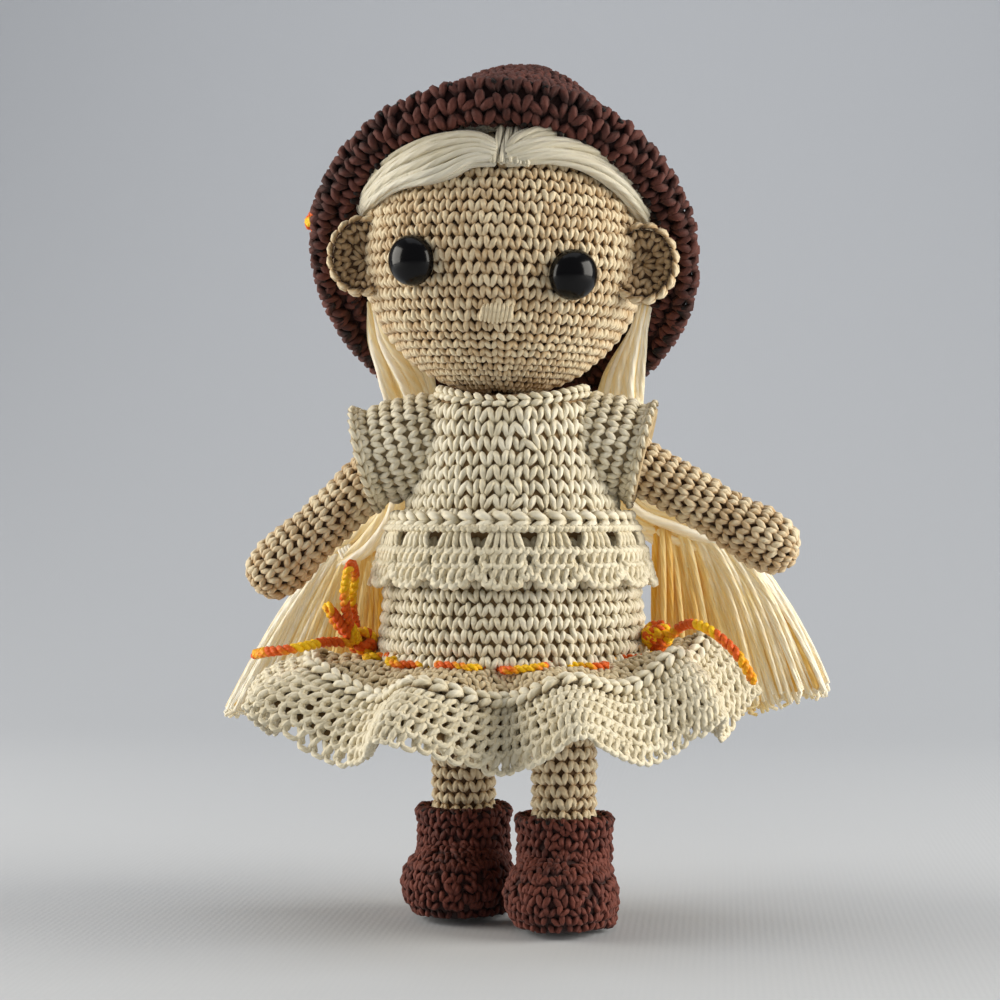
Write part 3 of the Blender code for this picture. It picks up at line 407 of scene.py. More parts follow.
def rounds(surface, levels, pitch, lean=0.0, start=0.0, span=2 * math.pi):
    """Stitch places in rounds: turn, level and width of each, spread evenly along every round."""
    turns = start + np.linspace(0, span, ROUND_STEPS)
    found = []
    for i, level in enumerate(levels):
        run = run_of(surface(turns, np.full(len(turns), level)))
        count = max(FEWEST_STITCHES, round(run[-1] / pitch))
        step = run[-1] / count
        spots = (np.arange(count) + 0.5 + lean * i) * step % run[-1]
        turned = np.interp(spots, run, turns)
        found.append(np.column_stack([turned, np.full(count, level), np.full(count, step)]))
    return np.vstack(found)


# How much stitches differ in size and lie higher or lower, as shares of their own size.
UNEVEN_SIZE, UNEVEN_LIFT = 0.05, 0.04


def worked(surface, spots, height, depth, sink, wobble, turned=0.0, template=PLUMP_STITCH, tones=None):
    """Stitches at their places on a surface, none of them quite alike."""
    here, across, up, out = frames_at(surface, spots[:, 0], spots[:, 1])
    count = len(spots)
    angle = turned + rng.normal(0, wobble, count)
    c, s = np.cos(angle)[:, None], np.sin(angle)[:, None]
    first, second = c * across + s * up, c * up - s * across
    grow = 1 + rng.normal(0, UNEVEN_SIZE, (count, 1))
    axes = np.stack([first * spots[:, 2:3] * grow, second * height * grow, out * depth * grow], 1)
    lift = (rng.normal(0, UNEVEN_LIFT, (count, 1)) * depth - sink) * out
    return stamped(template, (here + lift, axes), tones)


# The sheet's dark finish is painted shade, seen between the stitches.
def shell(name, surface, reach, grid, material, body, sink, wall=0.0):
    """The fabric's ground, just under its stitches: a sheet between two levels, in a grid of so many
    rows and steps round. It is closed at its ends, or open with a wall of a given thickness.
    """
    count, steps = grid
    turns = np.linspace(0, 2 * math.pi, steps, endpoint=False)
    here, _, _, out = frames_at(surface, *np.meshgrid(turns, np.linspace(*reach, count)))
    shape = bmesh.new()
    rows = [[shape.verts.new(p) for p in row] for row in here - sink * out]
    for low, high in zip(rows, rows[1:]):
        for j in range(steps):
            k = (j + 1) % steps
            shape.faces.new([low[j], low[k], high[k], high[j]])
    bmesh.ops.remove_doubles(shape, verts=shape.verts, dist=1e-6)
    bmesh.ops.recalc_face_normals(shape, faces=shape.faces)
    holes = [e for e in shape.edges if e.is_boundary]
    if wall:
        bmesh.ops.solidify(shape, geom=shape.faces[:], thickness=wall)
    elif holes:
        bmesh.ops.holes_fill(shape, edges=holes, sides=0)
        bmesh.ops.recalc_face_normals(shape, faces=shape.faces)
    return yarn_piece(name, mesh_of(name, shape), material, body)


# Yarn's patterns by the millimetre: clumps of fibre, drawn coarser than single fibres so that they
# show, and the slow drift of its dye. The rest weighs, as shares of the whole range, the random tone
# and the painted shade in the ply grooves, and sets where the colour ramp runs from painted shade in
# the hollows to painted light on the crests.
FIBRE_CLUMPS, DYE_DRIFT = 2.6 / MM, 0.085 / MM
GROOVE_DEPTH = 0.18 * MM
TONE_SHARE, GROOVE_SHARE = 0.30, 0.07
DARKEST, LIGHTEST, MIDDLE = 0.30, 1.22, 0.52


def yarn(
    name, light, mean, deep, sheen=0.25, roughness=0.72, ply=1.6, plies=3, fuzz=0.5, drift=0.12,
    glow=None, painted_glow=0.0,
):
    """Twisted yarn: ply grooves, loose fibres over them, painted shade in the grooves and the hollows
    between the stitches, and painted light on the crests.

    A ply turns once in so many mm. Where there is a glow, a share of the light passes through. A
    painted glow makes the yarn give off light of its own colour.
    """
    made, tree, out = new_material(name)
    place = node(tree, "TexCoord").outputs["Object"]
    strand_map = node(tree, "SeparateXYZ", {"Vector": node(tree, "UVMap", uv_map="yarn").outputs["UV"]})
    crest = node(tree, "Attribute", attribute_name="crest").outputs["Fac"]
    tone = node(tree, "Attribute", attribute_name="tone").outputs["Fac"]
    round_yarn, along_yarn = strand_map.outputs["X"], strand_map.outputs["Y"]
    around = node(tree, "Math", {0: round_yarn, 1: float(plies)}, operation="MULTIPLY").outputs[0]
    along = node(tree, "Math", {0: along_yarn, 1: 1 / ply}, operation="MULTIPLY").outputs[0]
    twist = node(tree, "Math", {0: around, 1: along}, operation="ADD").outputs[0]
    phase = node(tree, "Math", {0: twist, 1: 2 * math.pi}, operation="MULTIPLY").outputs[0]
    groove = node(tree, "Math", {0: phase}, operation="SINE").outputs[0]
    fibre = node(
        tree, "TexNoise", {"Vector": place, "Scale": FIBRE_CLUMPS, "Detail": 3.0, "Roughness": 0.6},
    ).outputs["Fac"]
    dye = node(tree, "TexNoise", {"Vector": place, "Scale": DYE_DRIFT, "Detail": 2.0}).outputs["Fac"]
    height = node(tree, "Math", {0: groove, 1: 0.5, 2: fibre}, operation="MULTIPLY_ADD").outputs[0]
    relief = {"Height": height, "Strength": fuzz, "Distance": GROOVE_DEPTH}
    bump = node(tree, "Bump", relief).outputs["Normal"]
    lit = node(tree, "Math", {0: tone, 1: TONE_SHARE, 2: crest}, operation="MULTIPLY_ADD").outputs[0]
    shade = node(tree, "Math", {0: groove, 1: GROOVE_SHARE, 2: lit}, operation="MULTIPLY_ADD").outputs[0]
    patch = node(tree, "Math", {0: dye, 1: drift * 4, 2: shade}, operation="MULTIPLY_ADD").outputs[0]
    level = node(
        tree, "MapRange",
        {"Value": patch, "From Min": DARKEST + drift * 2, "From Max": LIGHTEST + drift * 2},
    )
    ramp = node(tree, "ValToRGB", {"Fac": level.outputs[0]})
    stops = ramp.color_ramp.elements
    stops[0].color = linear(deep)
    stops[1].color = linear(light)
    stops.new(MIDDLE).color = linear(mean)
    shader = node(
        tree, "BsdfPrincipled",
        {
            "Base Color": ramp.outputs["Color"], "Roughness": roughness, "Normal": bump,
            "Sheen Weight": sheen, "Sheen Roughness": 0.4, "Specular IOR Level": 0.35,
            "Emission Color": ramp.outputs["Color"], "Emission Strength": painted_glow,
        },
    )
    if glow:
        colour, share = glow
        behind = node(tree, "BsdfTranslucent", {"Color": linear(colour), "Normal": bump})
        shader = node(tree, "MixShader", {0: share, 1: shader.outputs[0], 2: behind.outputs[0]})
    tree.links.new(shader.outputs[0], out.inputs["Surface"])
    return made


# A ground's loops by the stitch, and its clumps of fibre by the millimetre, drawn coarse to show.
LOOPS_IN_STITCH = 1.4
GROUND_FIBRE, LOOP_DEPTH = 2.2 / MM, 0.6 * MM


def ground(name, colour, deep):
    """Painted shade for between stitches and inside: a dark sheet, darker still between its drawn loops."""
    made, tree, out = new_material(name)
    place = node(tree, "TexCoord").outputs["Object"]
    loops = node(
        tree, "TexVoronoi", {"Vector": place, "Scale": LOOPS_IN_STITCH / STITCH_HEIGHT},
        feature="SMOOTH_F1",
    ).outputs["Distance"]
    fibre = node(tree, "TexNoise", {"Vector": place, "Scale": GROUND_FIBRE, "Detail": 2.0}).outputs["Fac"]
    height = node(tree, "Math", {0: fibre, 1: 0.3, 2: loops}, operation="MULTIPLY_ADD").outputs[0]
    relief = {"Height": height, "Strength": 0.8, "Distance": LOOP_DEPTH}
    bump = node(tree, "Bump", relief, invert=True).outputs["Normal"]
    mix = node(tree, "Mix", {0: loops, 6: linear(colour), 7: linear(deep)}, data_type="RGBA")
    shader = node(
        tree, "BsdfPrincipled",
        {"Base Color": mix.outputs[2], "Roughness": 0.9, "Normal": bump, "Sheen Weight": 0.1},
    )
    tree.links.new(shader.outputs[0], out.inputs["Surface"])
    return made


# Mercerised cotton, loosely plied: a soft sheen, painted light on the crests and painted brown
# shade in the hollows between stitches.
SKIN = yarn("tan_cotton_yarn", "#e9d8b5", "#bf9f73", "#412a14")
SKIN_PAINTED_SHADE = ground("tan_cotton_painted_shade", "#6e5234", "#46311b")
# Where the doll's upright middle line meets the floor; most places below are measured from it.
BASE = Vector((0.00128, -0.00162, 0))
LEG_TOP = {"left": (-0.0122, 0.0055, 0.0680), "right": (0.0122, -0.0055, 0.0680)}
ANKLE = {"left": (-0.0125, 0.0085, 0.0134), "right": (0.0128, -0.0085, 0.0134)}
# From the foot up: radius, and height from the leg's top.
LEG_PROFILE = [
    (0.0, -0.062), (0.0055, -0.0605), (0.0068, -0.054), (0.0072, -0.044),
    (0.0075, -0.030), (0.0075, -0.012), (0.0074, -0.008),
]
LEG_IN_BOOT, LEG_ROW = 0.022, 0.0029

for side in SIDES:
    hip, ankle = BASE + Vector(LEG_TOP[side]), BASE + Vector(ANKLE[side])
    rise = (hip - ankle).normalized()
    aim = rise.to_track_quat("Z", "Y").to_matrix().to_4x4()
    leg, length = lathe(LEG_PROFILE, Matrix.Translation(hip) @ aim)
    ground_leg = shell(side + "_leg_fabric", leg, (0, length), (24, 48), SKIN_PAINTED_SHADE, "doll", sink=0.0010)
    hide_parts(side + "_leg_skin", side + "_leg_stuffing")
    rows = rounds(leg, np.arange(LEG_IN_BOOT, length - 0.001, LEG_ROW), 3.0 * MM, lean=0.5)
    # Tones above the usual range paint light onto the legs, which the flounce shades.
    tones = rng.uniform(0.5, 1.5, len(rows))
    stitches = worked(leg, rows, 3.1 * MM, 3.0 * MM, sink=0.0009, wobble=0.15, tones=tones)
    show(side + "_leg_stitches", [stitches], SKIN, "doll")

# BOOTS
# Short round-toed boots in maroon cotton, worked tightly over a stiff insole, with a rolled rim.
# Each is sewn to its leg all round.

# The same cotton dyed maroon; tight stitches, so the hollows are small, and they are painted in
# nearly black shade.
MAROON = yarn("maroon_cotton_yarn", "#743c2f", "#421911", "#120402", sheen=0.04, ply=1.8)
MAROON_PAINTED_SHADE = ground("maroon_cotton_painted_shade", "#3a170f", "#210a06")
BOOT_YAW = {"left": math.radians(-14.0), "right": math.radians(-7.0)}
# The radius round the ankle at each height.
BOOT_RADII = np.array([
    (-0.001, 0.0104), (0.0016, 0.0117), (0.0067, 0.0119), (0.0147, 0.0108),
    (0.0230, 0.0108), (0.0250, 0.0114), (0.0268, 0.0108),
])
# From the middle of the sole out, up, over the rim and into the mouth: share of the radius, height.
BOOT_PATH = np.array([
    (0.0, 0.0005), (0.5, 0.0005), (0.93, 0.0006), (1.0, 0.0016),
    (1.0, 0.0262), (0.93, 0.0268), (0.80, 0.0262), (0.78, 0.0230),
])
BOOT_MEAN_RADIUS = 0.0115
BOOT_RUN = run_of(BOOT_PATH * (BOOT_MEAN_RADIUS, 1))
SOLE_EDGE, RIM_FOOT, RIM_TOP = BOOT_RUN[3:6]
INSTEP = SOLE_EDGE + np.array([0.0126, 0.0140, 0.0152, 0.0162])
# The toe's bulge: half its width, length and height, its place, and how softly it joins the ankle.
TOE = (0.0126, 0.0140, 0.0098)
TOE_FORWARD, TOE_HEIGHT, TOE_BLEND = 0.0055, 0.0088, 0.0012
SHUFFLED_TURN, SHUFFLED_LEVEL = 0.045, 0.00025


def boot_surface(place, yaw):
    """The boot's outside: the ankle's round or the toe's bulge, whichever is further out."""
    c, s = math.cos(yaw), math.sin(yaw)

    def at(turn, along):
        share, z = [np.interp(along, BOOT_RUN, values) for values in BOOT_PATH.T]
        ankle = np.interp(z, *BOOT_RADII.T)
        slice_size = np.sqrt(np.clip(1 - ((z - TOE_HEIGHT) / TOE[2]) ** 2, 0, 1))
        a, b = TOE[0] * slice_size + 1e-6, TOE[1] * slice_size + 1e-6
        dx, dy = np.cos(turn), np.sin(turn)
        qa = (dx / a) ** 2 + (dy / b) ** 2
        qb = 2 * dy * TOE_FORWARD / b**2
        qc = (TOE_FORWARD / b) ** 2 - 1
        root = qb**2 - 4 * qa * qc
        toe = np.where(root > 0, (-qb + np.sqrt(np.maximum(root, 0))) / (2 * qa), 0)
        radius = share * (TOE_BLEND * np.logaddexp(ankle / TOE_BLEND, toe / TOE_BLEND))
        x, y = radius * dx, radius * dy
        return np.stack([place.x + c * x - s * y, place.y + s * x + c * y, z], -1)

    return at


for side in SIDES:
    boot = boot_surface(BASE + Vector(ANKLE[side]), BOOT_YAW[side])
    reach = (0, BOOT_RUN[-1])
    ground_boot = shell(side + "_boot_fabric", boot, reach, (44, 72), MAROON_PAINTED_SHADE, "doll", sink=0.0005)
    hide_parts(side + "_boot", side + "_boot_stuffing")
    rows = np.vstack([
        rounds(boot, np.linspace(SOLE_EDGE + 0.0009, RIM_FOOT - 0.0006, 11), 2.8 * MM, lean=0.35),
        rounds(boot, INSTEP, 2.9 * MM, lean=0.4, start=math.pi * 1.08, span=math.pi * 0.84),
    ])
    rows[:, 0] += rng.normal(0, SHUFFLED_TURN, len(rows))
    rows[:, 1] += rng.normal(0, SHUFFLED_LEVEL, len(rows))
    rim = rounds(boot, [RIM_TOP + 0.0003], 2.6 * MM)
    show(side + "_boot_stitches", [
        worked(boot, rows, 3.1 * MM, 2.7 * MM, sink=0.0006, wobble=0.34),
        worked(boot, rim, 2.8 * MM, 2.4 * MM, sink=0.0009, wobble=0.1),
    ], MAROON, "doll")

# DRESS: BODICE AND SKIRT
# One tube in undyed cotton, worked round the body from the neck to the flounce: tall rows over
# the chest, a rope-like chain at the waist, and closer rows below it.

# Undyed cotton: painted light on the cream crests, painted grey-brown shade in the hollows, and a
# faint gloss along each strand.
CREAM = yarn("undyed_cotton_yarn", "#f4ecd5", "#d9cdae", "#7e653c")
CREAM_PAINTED_SHADE = ground("undyed_cotton_painted_shade", "#a3855a", "#765b38")
DRESS = [
    (0.0322, 0.0610), (0.0322, 0.0640), (0.0311, 0.0720), (0.0302, 0.0800), (0.0287, 0.0870),
    (0.0268, 0.0940), (0.0245, 0.1010), (0.0228, 0.1070), (0.0212, 0.1130), (0.0199, 0.1190),
    (0.0178, 0.1236),
]
COLLAR_FROM, COLLAR_HEIGHT, SHOULDER_RISE = 0.1120, 0.0116, 0.0030
dress_tube, dress_length = lathe(DRESS, Matrix.Translation(BASE))


def dress(turn, along):
    """The dress's outside. Its neckline dips under the chin and rises to the shoulders."""
    point = dress_tube(turn, along)
    near_top = np.clip((point[..., 2] - COLLAR_FROM) / COLLAR_HEIGHT, 0, 1)
    return point + np.array((0, 0, 1.0)) * (near_top * SHOULDER_RISE * np.cos(turn) ** 2)[..., None]


def dress_level(z):
    """How far up the dress's profile a height is."""
    levels = np.linspace(0, dress_length, 400)
    return float(np.interp(z, dress(np.full(400, -math.pi / 2), levels)[:, 2], levels))


def dress_rounds(low, high, row, pitch):
    """Rounds of stitches on the dress between two heights."""
    return rounds(dress, np.arange(dress_level(low), dress_level(high), row), pitch, lean=0.5)


ground_dress = shell("dress_fabric", dress, (0, dress_length), (40, 96), CREAM_PAINTED_SHADE, "doll", sink=0.0012)
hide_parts("bodice", "skirt", "torso_skin", "torso_stuffing")
chest = dress_rounds(0.0965, 0.1222, row=3.45 * MM, pitch=3.35 * MM)
hips = dress_rounds(0.0632, 0.0925, row=3.05 * MM, pitch=2.85 * MM)
neck = rounds(dress, [dress_level(0.1229)], 2.9 * MM)
show("bodice_stitches", [
    worked(dress, chest, 4.4 * MM, 3.2 * MM, sink=0.0010, wobble=0.2, template=stitch(plump=1.02)),
    worked(dress, neck, 3.2 * MM, 3.0 * MM, sink=0.0008, wobble=0.1, turned=1.45),
], CREAM, "doll")
show("skirt_stitches", [worked(dress, hips, 3.4 * MM, 2.9 * MM, sink=0.0009, wobble=0.2)], CREAM, "doll")

# A chain's Vs are slimmer, and each reaches a little into the next.
CHAIN_LEG = [
    (0.03, -0.50, -0.05), (0.13, -0.24, 0.14), (0.26, 0.04, 0.20), (0.37, 0.30, 0.10), (0.42, 0.52, -0.16),
]
CHAIN_STITCH = stitch(plump=1.05, leg=CHAIN_LEG)
CHAIN_OVERLAP = 1.12


def chain_on(surface, level, pitch, height, depth, lift):
    """A chain of Vs laid sideways along a round."""
    spots = rounds(surface, [level], pitch)
    here, across, up, out = frames_at(surface, spots[:, 0], spots[:, 1])
    axes = np.stack([up * height, -across * spots[:, 2:3] * CHAIN_OVERLAP, out * depth], 1)
    return stamped(CHAIN_STITCH, (here + lift * out, axes))


waist = show("waist_chain_stitches", [
    chain_on(dress, dress_level(0.0947), 4.0 * MM, 4.3 * MM, 3.9 * MM, lift=0.0014),
], CREAM, "doll")
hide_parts("waist_chain")

# PEPLUM
# A short lace frill worked down from the waist chain: shells of tall posts fan out from one loop
# to the next, and the skirt shows through the openings between them.

# The same undyed cotton as a thinner thread, painted a little darker all over as the shade where
# it stands off the skirt.
LACE = yarn("undyed_cotton_lace_thread_painted_shade", "#ebe1c6", "#c8b995", "#6d5431")
LACE_YARN = 0.00080
LAID_STEPS, LAID_SIDES = 7, 5
LAID_TAPER = np.sin(np.linspace(0.45, math.pi - 0.45, LAID_STEPS)) ** 0.4


def laid(surface, points, width, lift=0.0):
    """A strand laid on a surface through (turn, level, extra lift) points."""
    p = smooth_through(points, LAID_STEPS)
    here, _, _, out = frames_at(surface, p[:, 0], p[:, 1])
    radii = width * LAID_TAPER * rng.uniform(0.9, 1.12)
    return strand(here + out * (p[:, 2:3] + lift), radii, LAID_SIDES, tone=rng.random())


def posts(surface, middle, reaches, levels, count, width, arch=0.0, lift=0.0):
    """Tall stitches side by side that spread or close from one level down to another's arched line."""
    made, ends = [], []
    for k in range(count):
        f = (k + 0.5) / count * 2 - 1 + rng.normal(0, 0.03)
        head_turn, foot_turn = [middle + f * reach for reach in reaches]
        top, foot = levels[0], levels[1] + arch * f * f
        ends.append((foot_turn, foot, 0.0001))
        made.append(laid(surface, [
            (head_turn, top + 0.0004, -0.0004),
            (head_turn * 0.6 + foot_turn * 0.4, (top + foot) / 2, 0.0005),
            (foot_turn, foot, 0.0001),
        ], width, lift))
    return made, ends


def crossed(surface, middle, reach, levels, count, width, arch):
    """A net of strands that cross each other between two levels, with an arched foot line."""
    made, ends = [], []
    step = 2 * reach / count
    for k in range(count):
        f = (k + 0.5) / count * 2 - 1
        top, foot = levels[0], levels[1] + arch * f * f
        ends.append((middle + f * reach, foot, 0.0001))
        for way in (-1, 1):
            head_turn = middle + f * reach + way * 0.5 * step + rng.normal(0, 0.06) * step
            foot_turn = middle + f * reach - way * 0.25 * step + rng.normal(0, 0.06) * step
            made.append(laid(surface, [
                (head_turn, top + 0.0003, -0.0002),
                ((head_turn + foot_turn) / 2, (top + foot) / 2, 0.0003 + 0.0003 * way),
                (foot_turn, foot, 0.0),
            ], width))
    return made, ends


def looped(surface, ends, width, drop=0.0008):
    """Loops of yarn that hang from one stitch to the next."""
    made = []
    for (turn, level, _), (next_turn, next_level, _) in zip(ends, ends[1:]):
        low = min(level, next_level) - drop
        quarter = (next_turn - turn) / 4
        made.append(laid(surface, [
            (turn, level + 0.0004, 0.0003), (turn + quarter, low, 0.0007),
            (next_turn - quarter, low, 0.0007), (next_turn, next_level + 0.0004, 0.0003),
        ], width))
    return made


# How many shells go round, and where the first is from the front, in shells.
SHELLS, FIRST_SHELL = 17, 0.04
# How far down the frill its posts, its net and its scalloped foot end.
POSTS_END, NET_END, FRILL_END = 0.0050, 0.0090, 0.0130
HEADING_STITCHES = (-0.42, -0.30, -0.17, 0.0, 0.17, 0.30, 0.42)
FRILL = [
    (0.0334, 0.0776), (0.0327, 0.0815), (0.0317, 0.0855), (0.0304, 0.0895), (0.0291, 0.0930),
    (0.0284, 0.0945),
]
lace, lace_length = lathe(FRILL, Matrix.Translation(BASE))
top = lace_length - 0.0010
pitch = 2 * math.pi / SHELLS
thin = LACE_YARN * 0.95
parts = []
for k in range(SHELLS):
    middle = (k + FIRST_SHELL) * pitch - math.pi / 2
    before, behind = middle - 0.5 * pitch, middle + 0.5 * pitch
    reaches = (0.27 * pitch, 0.45 * pitch)
    made, ends = posts(lace, middle, reaches, (top, top - POSTS_END), 5, LACE_YARN)
    joined = [(before, top - 0.0052, 0), *ends, (behind, top - 0.0052, 0)]
    parts += made + looped(lace, joined, LACE_YARN)
    levels = (top - POSTS_END, top - NET_END)
    made, ends = crossed(lace, middle, 0.46 * pitch, levels, 5, thin, arch=0.0010)
    parts += made + looped(lace, ends, LACE_YARN * 0.9, drop=0.0003)
    levels = (top - NET_END + 0.0002, top - FRILL_END)
    made, ends = crossed(lace, middle, 0.45 * pitch, levels, 5, thin, arch=0.0032)
    joined = [(before, top - 0.0095, 0), *ends, (behind, top - 0.0095, 0)]
    parts += made + looped(lace, joined, LACE_YARN * 1.1)
    reaches, levels = (0.36 * pitch, 0.44 * pitch), (top - 0.0054, top - 0.0120)
    parts += posts(lace, middle, reaches, levels, 6, LACE_YARN, arch=0.0028, lift=-0.0008)[0]
    for f in HEADING_STITCHES:
        parts.append(laid(lace, [
            (middle + (f - 0.09) * pitch, top + 0.0004, 0.0004),
            (middle + f * pitch, top - 0.0007, 0.0010),
            (middle + (f + 0.09) * pitch, top + 0.0004, 0.0004),
        ], LACE_YARN))
peplum = show("peplum_lace", parts, LACE, "doll")
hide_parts("peplum")

# FLOUNCE
# A gathered strip sewn to the skirt's hem. It stands out in folds, with a raised chain half way
# down and an open, scalloped edge.

# The strip stands out in nine folds and dips at the front. At the right it is tucked in and puffs
# up, and in the middle of the front it has one deep pleat.
RUFFLE_TOP_RADIUS, RUFFLE_RADIUS = 0.0318, 0.0615
RUFFLE_TOP_Z, RUFFLE_FALL = 0.0622, 0.0135
FOLDS, FOLD_HEIGHT, FOLD_DEPTH, FRONT_DIP = 9, 0.0042, 0.0052, 0.0050
TUCKED_LEFT, TUCKED_RIGHT = 0.04, 0.24
SIDE_PUFF, PLEAT_TURN, PLEAT_WIDTH, PLEAT_DEPTH = 0.0048, 0.03, 0.13, 0.0085
SLOW_SWAY, QUICK_SWAY, FOLD_LEAN = 0.0011, 0.0009, 0.05
# From the skirt out to the hem: shares of the way out and of the way down.
RUFFLE_SHARES = [(0.0, 0.0), (0.25, 0.07), (0.5, 0.20), (0.74, 0.40), (0.91, 0.66), (1.0, 1.0)]
ruffle_points = [
    (RUFFLE_TOP_RADIUS + (RUFFLE_RADIUS - RUFFLE_TOP_RADIUS) * out, RUFFLE_TOP_Z - RUFFLE_FALL * down)
    for out, down in reversed(RUFFLE_SHARES)
]
ruffle_line = smooth_through(ruffle_points, 60)
ruffle_run = run_of(ruffle_line)
ruffle_length = ruffle_run[-1]


def ruffle(turn, along):
    """The flounce's upper side, from its hem up to the skirt."""
    radius = np.interp(along, ruffle_run, ruffle_line[:, 0])
    z = np.interp(along, ruffle_run, ruffle_line[:, 1])
    out = np.clip((radius - RUFFLE_TOP_RADIUS) / (RUFFLE_RADIUS - RUFFLE_TOP_RADIUS), 0, 1)
    angle = turn + math.pi / 2
    fold = np.cos(FOLDS * angle)
    z = z - out * (FOLD_HEIGHT * fold + FRONT_DIP * (1 + np.cos(2 * angle)) / 2)
    sway = SLOW_SWAY * np.sin(4 * angle + 1.0) + QUICK_SWAY * np.sin(7 * angle + 2.1)
    radius = radius * (1 - fold * out**0.8 * FOLD_DEPTH / RUFFLE_RADIUS) + out * sway
    tucked = 1 - TUCKED_LEFT - TUCKED_RIGHT * ((1 + np.cos(turn)) / 2) ** 3
    radius = RUFFLE_TOP_RADIUS + (radius - RUFFLE_TOP_RADIUS) * tucked
    z = z + SIDE_PUFF * 4 * out * (1 - out) * np.maximum(np.cos(turn), 0) ** 2
    from_pleat = np.angle(np.exp(1j * (angle - PLEAT_TURN)))
    radius = radius - PLEAT_DEPTH * np.exp(-((from_pleat / PLEAT_WIDTH) ** 2)) * np.sqrt(out)
    turn = turn + FOLD_LEAN * out * np.sin(FOLDS * angle + 0.6)
    x, y = BASE.x + radius * np.cos(turn), BASE.y + radius * np.sin(turn)
    return np.stack([x, y, z + 0.5 * out * sway], -1)


# How far up the strip, as shares, its closed fabric, its chain and its gathered stitches start.
LACE_SHARE, CHAIN_SHARE, GATHER_SHARE = 0.11, 0.53, 0.57
LACE_TIERS, LACE_FANS, HEM_LOBES, LOBE_DEPTH = 5, 40, 26, 0.0011
hem_level, chain_level = ruffle_length * LACE_SHARE, ruffle_length * CHAIN_SHARE
ground_ruffle = shell(
    "flounce_fabric", ruffle, (hem_level, ruffle_length), (22, 216), CREAM_PAINTED_SHADE, "doll",
    sink=0.0010, wall=0.0008,
)
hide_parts("ruffle")
# The same thread where it lies deep in the gathers, painted warmer and darker as their shade.
GATHERED = yarn("undyed_cotton_painted_gather_shade", "#dfcfac", "#bba47b", "#6b5130")
upper = rounds(
    ruffle, np.arange(ruffle_length * GATHER_SHARE, ruffle_length - 0.0006, 2.9 * MM), 3.0 * MM, lean=0.5,
)
upper_stitches = show("flounce_upper_stitches", [
    worked(ruffle, upper, 3.1 * MM, 2.9 * MM, sink=0.0004, wobble=0.35),
], GATHERED, "doll")
ridge = show("flounce_chain", [
    chain_on(ruffle, chain_level, 3.4 * MM, 3.9 * MM, 3.6 * MM, lift=0.0012),
], CREAM, "doll")
parts, bars = [], []
pitch = 2 * math.pi / LACE_FANS
rows = np.linspace(chain_level - 0.0012, 0.0012, LACE_TIERS + 1)
for i, (top, low) in enumerate(zip(rows, rows[1:])):
    for k in range(LACE_FANS):
        middle = (k + 0.5 * (i % 2)) * pitch
        lobe = LOBE_DEPTH * math.cos(HEM_LOBES * middle + 1.0) * (1 - top / chain_level) ** 2
        fan, ends = crossed(ruffle, middle, 0.47 * pitch, (top, low + lobe), 4, 0.00078, arch=0.0007)
        next_turn = ends[0][0] + pitch
        parts += fan + looped(ruffle, ends + [(next_turn, ends[0][1], 0)], 0.00066)
        reaches, levels = (0.44 * pitch, 0.46 * pitch), (top, low + 0.0006)
        bars += posts(ruffle, middle + 0.5 * pitch, reaches, levels, 4, 0.00072, lift=-0.0010)[0]
lace_rows = show("flounce_lace", parts, LACE, "doll")
lace_bars = show("flounce_lace_bars", bars, LACE, "doll")
fall = ruffle_length * (1 - LACE_SHARE)

# DRAWSTRING
# A two-ply cord of orange and yellow thread that weaves through the top of the flounce, tied in
# a bow at the left and a plain knot at the right.

# Shaded rayon thread: its colour runs from yellow to red-orange and back, with a silky gloss.
CORD = yarn(
    "orange_twisted_thread", "#ffcb05", "#f59a0c", "#e65f08", sheen=0.1, roughness=0.5, ply=0.9, plies=2,
    fuzz=0.6, drift=0.5,
)
# The cord turns once in 3.6 mm; its threads' size and offset are shares of its radius.
CORD_RADIUS, CORD_LAY = 0.00125, 0.0036
THREAD_SHARE, THREAD_OFFSET, THREAD_SIDES = 0.60, 0.48, 6
CORD_STEP, COLOUR_PACE = 0.0006, 430
LEFT_END = [
    (-0.0368, -0.0104, 0.0665), (-0.0422, -0.0150, 0.0670), (-0.0458, -0.0205, 0.0664),
    (-0.0503, -0.0228, 0.0656), (-0.0552, -0.0205, 0.0650), (-0.0592, -0.0140, 0.0640),
]
RIGHT_END = [
    (0.0366, -0.0107, 0.0679), (0.0405, -0.0150, 0.0712), (0.0440, -0.0200, 0.0716),
    (0.0485, -0.0242, 0.0694), (0.0530, -0.0255, 0.0650), (0.0566, -0.0240, 0.0590),
]


def beside(line, rough_up):
    """Two directions square to a route at each of its points."""
    ahead = unit(np.gradient(line, axis=0))
    side = unit(np.cross(ahead, rough_up))
    return side, np.cross(side, ahead)


def turned_out(directions, angle, flat=1.0):
    """Where an angle round a route points, at each of its points."""
    side, other = directions
    return np.cos(angle)[:, None] * side + flat * np.sin(angle)[:, None] * other


